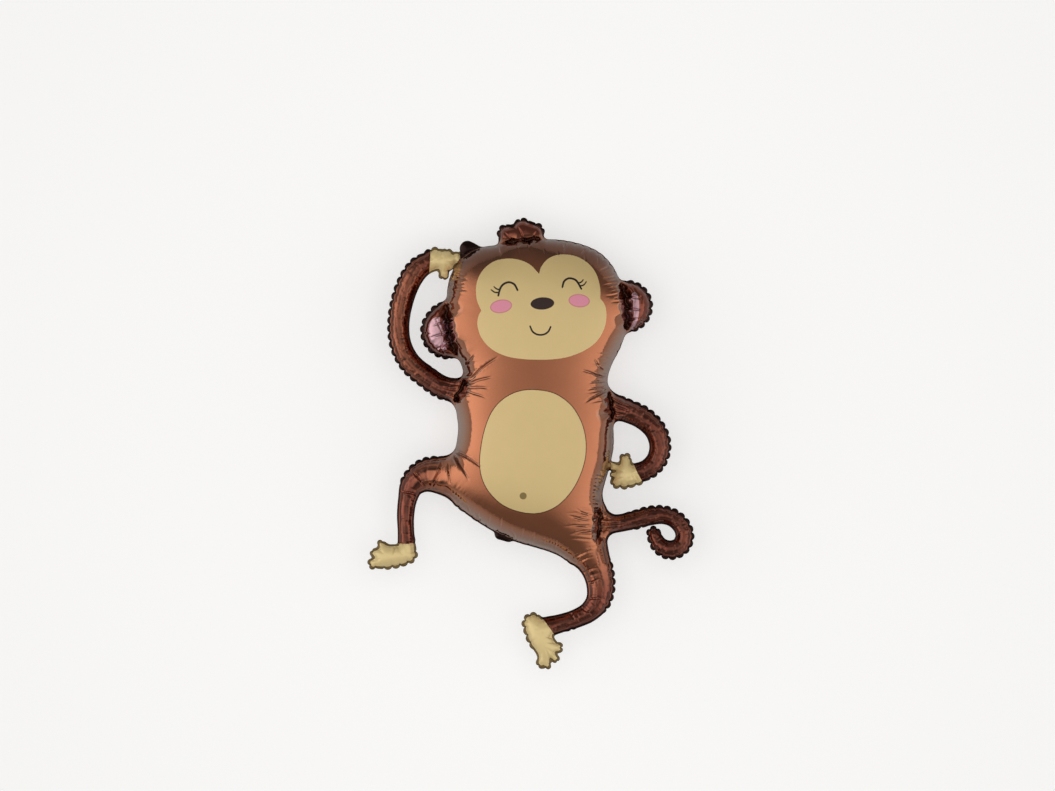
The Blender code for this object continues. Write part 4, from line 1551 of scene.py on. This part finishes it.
@dataclass
class Balloon:
    """The whole balloon: both sheets of film, joined along the cut edge."""

    flat_depth: float = 0.0070
    outline_height: float = 450.5
    middle: tuple[float, float] = (531.0, 443.5)
    # Where painted light falls on the film: the limbs' painted shade and its fade into the torso, the painted
    # reflection on steep sides, the painted light on the left arm and the painted shade facing the ends
    limb_fade: float = 0.012
    leg_fade: float = 0.070
    steep_from: float = 0.72
    steep_span: float = 0.30
    left_arm_painted_light: float = 0.35
    end_from: float = 0.25
    end_span: float = 0.40
    arm_ends: tuple[float, float] = (428.0, 400.0)
    arm_fade: float = 12.0
    body_fade: float = 4.0
    fold_height: float = 0.004
    pleat_heights: tuple[float, float] = (0.006, 0.090)

    def build(self) -> Object:
        """Draw, cut, swell, fold and join the film, and dress it.

        Returns:
            The finished piece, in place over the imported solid.
        """
        low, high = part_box(NODE)
        unit = (high.y - low.y) / self.outline_height
        border = Border(unit)
        outline = Outline(border_width=border.width / unit)
        log.info("outline sampled on %d by %d points", len(outline.whole.xs), len(outline.whole.ys))
        border.draw(outline)
        log.info("seam has %d points, cut edge %d", sum(map(len, border.seams)),
                 sum(map(len, border.cut_edges)))
        front_print, back_print = Print(), Print()
        front_print.draw_front()
        back_print.draw_cuffs()
        cutter = Cutter(unit)
        rough = Cutter(unit, rings=(0.0006, 0.0022, 0.0050, 0.0084), body_rings=(0.0142, 0.0214), stride=2,
                       net=0.0042, coarse_net=0.0070, creased=False)
        sheets = {
            Side.FRONT: cutter.cut(outline, border, front_print),
            Side.BACK: rough.cut(outline, border, back_print),
        }
        verts: list[Array] = []
        faces: list[Array] = []
        inks: list[Array] = []
        marks: dict[str, list[Array]] = {}
        start = 0
        creaser = Creaser(unit)
        for side, sheet in sheets.items():
            gas = Gas(unit) if side is Side.FRONT else Gas(unit, valley=0.65, wall=0.0200)
            places = (sheet.corners - self.middle) * (unit, -unit)
            height = gas.lift(sheet, outline, places)
            traces = self._marks(sheet, border, height, outline)
            solid, lines = self._shape(sheet, places, height, side, border, outline, creaser,
                                       traces["seam_phase"])
            log.info("%s film: %d triangles, %.1f mm high", side.name.lower(), len(sheet.film),
                     1000 * height.max())
            triangles = np.vstack([sheet.film, sheet.border])
            verts.append(solid)
            faces.append(start + (triangles[:, ::-1] if side is Side.FRONT else triangles))
            inks.append(np.concatenate([sheet.film_inks, sheet.border_inks]))
            traces |= self._tints(sheet, solid, outline, gas, border, lines)
            for name, values in traces.items():
                marks.setdefault(name, []).append(values)
            start += len(solid)
        piece = self._mesh(np.vstack(verts), np.vstack(faces), np.concatenate(inks),
                           {name: np.concatenate(values) for name, values in marks.items()})
        self._settle(piece, low, high)
        materials = {finish: finish.material() for finish in dict.fromkeys(FINISHES.values())}
        for ink in Ink:
            piece.data.materials.append(materials[FINISHES[ink]])
        piece = PuckerTree().apply(piece, materials[FOIL])
        self._rest_on_ground(piece)
        piece.data.shade_smooth()
        return piece

    def _shape(self, sheet: Sheet, places: Array, height: Array, side: Side, border: Border,
               outline: Outline, creaser: Creaser, phase: Array) -> tuple[Array, Array]:
        """Lift a sheet's corners off the seam's plane and push the creases in.

        Args:
            sheet: the divided film.
            places: its corners in metres.
            height: their half thickness.
            side: the front or the back.
            border: the sealed border, with its seams and cut edges.
            outline: the drawing.
            creaser: what folds the film.
            phase: each corner's place along the seam, in tabs.

        Returns:
            The corners in space, and the share of a fold's line at each.
        """
        half = border.thickness / 2
        in_film = np.zeros(len(places), bool)
        in_film[sheet.film.ravel()] = True
        inside = -outline.whole.read(sheet.corners) * border.unit - 0.5 * border.width
        dome = border.dome * np.sqrt(clamp(inside / border.dome_reach))
        lift = np.where(in_film & ~sheet.on_seam, np.maximum(height, half), half + np.where(in_film, 0, dome))
        lift[sheet.on_cut] = 0
        lift = side.value * lift
        share = np.where(sheet.on_cut, 1.0, np.where(in_film, 0.0, 0.5))
        lift += share * border.curls(phase)
        solid = np.column_stack([places, lift])
        push, lines = creaser.limb_folds(sheet.corners, height, outline, border.width)
        if side is Side.FRONT:
            push = push + creaser.creases(sheet.corners)
        normal = vertex_normals(solid, sheet.film)
        normal[~in_film | sheet.on_seam | sheet.on_cut] = 0
        away = np.minimum(height / self.fold_height, 1.0)
        return solid - normal * (push * away)[:, None], lines * away

    def _marks(self, sheet: Sheet, border: Border, height: Array,
               outline: Outline) -> dict[str, Array]:
        """Work out each corner's place along the seam, its distance from it, and its slope.

        Args:
            sheet: the divided film.
            border: the sealed border, with its seams and cut edges.
            height: the half thickness at each corner.
            outline: the drawing.

        Returns:
            The values at each corner by the name of their attribute.
        """
        seam = np.vstack(border.seams)
        hits, gaps = nearest(seam, sheet.corners)
        inset = gaps * border.unit
        after, before = (np.roll(np.arange(len(seam)), turn)[hits] for turn in (-1, 1))
        along = seam[after] - seam[before]
        shift = ((sheet.corners - seam[hits]) * along).sum(1) / (along ** 2).sum(1)
        rise = border.phases[after] - border.phases[before]
        rise[np.abs(rise) > 1] = 0
        phase = border.phases[hits] + np.clip(shift, -0.5, 0.5) * rise
        inset[outline.seam.read(sheet.corners) > 0] = 0
        low, high = self.pleat_heights
        steep = clamp(1.35 - height / high) * clamp(height / low)
        steep *= np.clip(1.2 - outline.body.read(sheet.corners) * border.unit / 0.004, 0.35, 1)
        bulge = border.bulges[hits] * np.where(sheet.on_cut, 0, 1)
        return {"seam_phase": phase, "seam_inset": inset, "bulge": bulge, "slope": steep}

    def _tints(self, sheet: Sheet, solid: Array, outline: Outline, gas: Gas, border: Border,
               lines: Array) -> dict[str, Array]:
        """Work out where light is painted into the film: painted shade out on the limbs, at the ends and in
        the roots' folds, a painted reflection on steep sides, and painted light on the left arm.

        Args:
            sheet: the divided film.
            solid: its corners in space.
            outline: the drawing.
            gas: what swelled the film.
            border: the sealed border, with its seams and cut edges.
            lines: the share of a fold's line at each corner.

        Returns:
            The share of each tint at each corner, by the name of its attribute.
        """
        out = outline.body.read(sheet.corners)
        # Painted shade on the limbs, fading into the torso, over a longer reach along the legs
        legs = [smooth_path(LIMBS[name], False) for name in ("left_leg", "right_leg")]
        from_leg = np.minimum(*(distance_to_tube(sheet.corners, leg) for leg in legs))
        reach = np.interp(from_leg, (0, 4), (self.leg_fade, self.limb_fade)) / border.unit
        normal = vertex_normals(solid, sheet.film)
        on_body = clamp(0.5 - out / self.body_fade)
        # Painted reflection: the steep sides of the head and torso get a paler grey
        steep = clamp((self.steep_from - np.abs(normal[:, 2])) / self.steep_span) * on_body
        # Painted shade: darker where the film faces the head's top, less where it faces the torso's bottom
        facing = np.maximum(normal[:, 1], -0.5 * normal[:, 1])
        end = clamp((facing - self.end_from) / self.end_span) * on_body
        # Painted shade: nearly black in the roots' valleys and along the limbs' fold lines
        fold = np.maximum((1 - gas.pinched(sheet.corners, outline)) / (1 - gas.valley), lines)
        # Painted shade round each welded hand
        for x, y, radius in TOUCHES:
            fold = np.maximum(fold, np.exp(-((sheet.corners - (x, y)) ** 2).sum(1) / radius ** 2))
        # Painted light: the left arm's upper part keeps less of the limbs' painted shade
        x, y = sheet.corners.T
        right, low = self.arm_ends
        lit = self.left_arm_painted_light * clamp((right - x) / self.arm_fade) * clamp((low - y) / self.arm_fade)
        return {"limb": clamp(out / reach) * (1 - lit), "steep": steep, "end": end, "fold": clamp(fold)}

    def _mesh(self, verts: Array, faces: Array, inks: Array,
              marks: dict[str, Array]) -> Object:
        """Join both sheets along the cut edge into one mesh with its attributes.

        Args:
            verts: the corners in space.
            faces: the triangles.
            inks: the ink of each triangle.
            marks: the values at each corner by the name of their attribute.

        Returns:
            The new object.
        """
        mesh = bpy.data.meshes.new(NODE + "_film")
        mesh.from_pydata(verts.tolist(), [], faces.tolist())
        mesh.polygons.foreach_set("material_index", inks.astype(np.int32))
        bare = mesh.attributes.new("bare", "BOOLEAN", "FACE")
        bare.data.foreach_set("value", inks == Ink.BARE_FOIL.value)
        for name, values in marks.items():
            layer = mesh.attributes.new(name, "FLOAT", "POINT")
            layer.data.foreach_set("value", values.astype(np.float32))
        body = bmesh.new()
        body.from_mesh(mesh)
        rim = [vert for vert in body.verts if vert.is_boundary]
        bmesh.ops.remove_doubles(body, verts=rim, dist=1e-6)
        bmesh.ops.delete(body, geom=[vert for vert in body.verts if not vert.link_faces], context="VERTS")
        bmesh.ops.recalc_face_normals(body, faces=body.faces)
        log.info("joined film: %d triangles, %d open edges", len(body.faces),
                 sum(not edge.is_manifold for edge in body.edges))
        body.to_mesh(mesh)
        body.free()
        return placed(NODE + "_film", mesh)

    def _settle(self, piece: Object, low: Vector, high: Vector) -> None:
        """Put the balloon over its solid, the seam at the height that the solid's top gives.

        Args:
            piece: the balloon.
            low: the solid's lowest corner.
            high: the solid's highest corner.
        """
        spots = np.empty(len(piece.data.vertices) * 3, np.float32)
        piece.data.vertices.foreach_get("co", spots)
        spots = spots.reshape(-1, 3)
        half = (high.z + self.flat_depth) / 2
        spots[:, 2] = spots[:, 2] * half / spots[:, 2].max() + half - self.flat_depth
        middle = (spots.min(0) + spots.max(0)) / 2
        spots[:, 0] += (low.x + high.x) / 2 - middle[0]
        spots[:, 1] += (low.y + high.y) / 2 - middle[1]
        piece.data.vertices.foreach_set("co", spots.ravel())
        piece.data.update()

    def _rest_on_ground(self, piece: Object) -> None:
        """Flatten what would be under the ground.

        Args:
            piece: the balloon.
        """
        for vert in piece.data.vertices:
            vert.co.z = max(vert.co.z, 0.0)
        piece.data.update()


def vertex_normals(verts: Array, faces: Array) -> Array:
    """Average the upward normals of the faces round each corner.

    Args:
        verts: the corners in space.
        faces: the triangles.

    Returns:
        One unit vector for each corner, or none where no face meets it.
    """
    a, b, c = (verts[faces[:, k]] for k in range(3))
    normal = np.cross(b - a, c - a)
    normal *= np.sign(normal[:, 2] * verts[faces[:, 0], 2] + 1e-12)[:, None]
    total = np.stack([
        sum(np.bincount(faces[:, k], normal[:, axis], len(verts)) for k in range(3)) for axis in range(3)
    ], 1)
    return total / np.maximum(norms(total), 1e-12)[:, None]


@dataclass
class Studio:
    """The pale floor, a soft dome with one overhead soft box, and a camera that looks straight down."""

    photo_width: float = 1055.0
    photo_middle: tuple[float, float] = (527.5, 395.5)
    camera_distance: float = 8.0
    sensor: float = 36.0
    floor_size: float = 40.0
    floor_drop: float = 0.0004
    floor_colour: str = "C6C6C6"
    floor_glow: float = 0.56
    floor_roughness: float = 0.9
    view_reach: float = 50.0
    box_height: float = 2.4
    box_size: float = 2.0
    box_power: float = 16.0
    dim_light: float = 0.18
    top_light: float = 0.25
    top_ends: tuple[float, float] = (0.05, 0.68)
    top_shift: float = 0.09
    side_light: float = 0.60
    side_bias: float = 0.18
    side_power: float = 1.3
    side_ends: tuple[float, float] = (0.40, 0.80)
    side_lean: float = 0.12

    def build(self, low: Vector, high: Vector, balloon: Balloon) -> None:
        """Make the floor, the lights, the surroundings and the camera.

        Args:
            low: the solid's lowest corner.
            high: the solid's highest corner.
            balloon: the balloon, for the size and middle of its drawing.
        """
        self._floor()
        self._softbox()
        self._world()
        unit = (high.y - low.y) / balloon.outline_height
        middle = (low + high) / 2
        x = middle.x + (self.photo_middle[0] - balloon.middle[0]) * unit
        y = middle.y - (self.photo_middle[1] - balloon.middle[1]) * unit
        seam = (high.z + balloon.flat_depth) / 2 - balloon.flat_depth
        camera = bpy.data.cameras.new("camera")
        camera.sensor_width = self.sensor
        camera.lens = self.sensor * self.camera_distance / (self.photo_width * unit)
        camera.clip_end = self.view_reach
        stand = placed("camera", camera)
        stand.location = (x, y, seam + self.camera_distance)
        bpy.context.scene.camera = stand

    def _floor(self) -> None:
        """Lay a pale, evenly lit floor."""
        half = self.floor_size / 2
        mesh = bpy.data.meshes.new("floor")
        corners = [(x * half, y * half, -self.floor_drop) for x, y in ((-1, -1), (1, -1), (1, 1), (-1, 1))]
        mesh.from_pydata(corners, [], [(0, 1, 2, 3)])
        floor = placed("floor", mesh)
        material, tree, shader = new_material("pale_studio_floor", {
            "Base Color": linear(self.floor_colour), "Roughness": self.floor_roughness,
            "Emission Color": linear("FFFFFF"),
        })
        seen = add_node(tree, "ShaderNodeLightPath").outputs["Is Camera Ray"]
        glow = add_node(tree, "ShaderNodeMath", {0: seen, 1: self.floor_glow}, operation="MULTIPLY")
        tree.links.new(glow.outputs[0], shader.inputs["Emission Strength"])
        mesh.materials.append(material)

    def _softbox(self) -> None:
        """Hang a soft box that lifts the printed inks and the floor, and that the film doesn't mirror."""
        light = bpy.data.lights.new("overhead_fill", "AREA")
        light.size = self.box_size
        light.energy = self.box_power
        box = placed("overhead_fill", light)
        box.visible_camera = False
        box.visible_glossy = False
        box.location = (0, 0, self.box_height)

    def _world(self) -> None:
        """Surround the balloon with a soft dome, bright at both sides, and a pale backdrop for the camera."""
        world = bpy.data.worlds.new("studio")
        bpy.context.scene.world = world
        world.use_nodes = True
        tree = world.node_tree
        place = add_node(tree, "ShaderNodeTexCoord").outputs["Generated"]
        ray = add_node(tree, "ShaderNodeSeparateXYZ", {0: place})
        known: dict[str, object] = {"x": ray.outputs["X"], "y": ray.outputs["Y"]}
        add_sums(tree, known, (
            ("lean", "MULTIPLY_ADD", "x", self.side_lean, self.top_shift), ("turned", "ADD", "y", "lean"),
            ("along", "ABSOLUTE", "turned"), ("across", "ABSOLUTE", "x"),
        ))
        ramps = (("side_fade", self.side_ends, 1.0), ("above", self.top_ends, self.top_light))
        for name, (start, end), height in ramps:
            known[name] = add_node(tree, "ShaderNodeMapRange", {
                "Value": known["along"], "From Min": start, "From Max": end, "To Min": height, "To Max": 0.0,
            }, interpolation_type="SMOOTHSTEP")
        add_sums(tree, known, (
            ("spread", "POWER", "across", self.side_power), ("sides", "MULTIPLY", "spread", self.side_light),
            ("bias", "MULTIPLY_ADD", "x", -self.side_bias, 1.0), ("uneven", "MULTIPLY", "sides", "bias"),
            ("dome", "MULTIPLY_ADD", "uneven", "side_fade", "above"),
            ("light", "ADD", "dome", self.dim_light),
        ))
        dome = add_node(tree, "ShaderNodeBackground", {"Color": linear("FFFCF8"), "Strength": known["light"]})
        pale = add_node(tree, "ShaderNodeBackground", {"Color": linear("F6F6F6")})
        seen = add_node(tree, "ShaderNodeLightPath").outputs["Is Camera Ray"]
        mix = add_node(tree, "ShaderNodeMixShader", {0: seen, 1: dome, 2: pale})
        tree.links.new(mix.outputs[0], tree.nodes["World Output"].inputs["Surface"])


def main() -> None:
    """Build the balloon and the studio, and hand the balloon to the frame."""
    logging.basicConfig(level=logging.INFO, format="%(name)s: %(message)s")
    bpy.context.scene.view_settings.view_transform = "Standard"
    balloon = Balloon()
    film = balloon.build()
    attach(film, "root")
    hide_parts(NODE)
    log.info("%s: %d triangles", film.name, len(film.data.polygons))
    low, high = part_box(NODE)
    Studio().build(low, high, balloon)


if __name__ == "__main__":
    main()
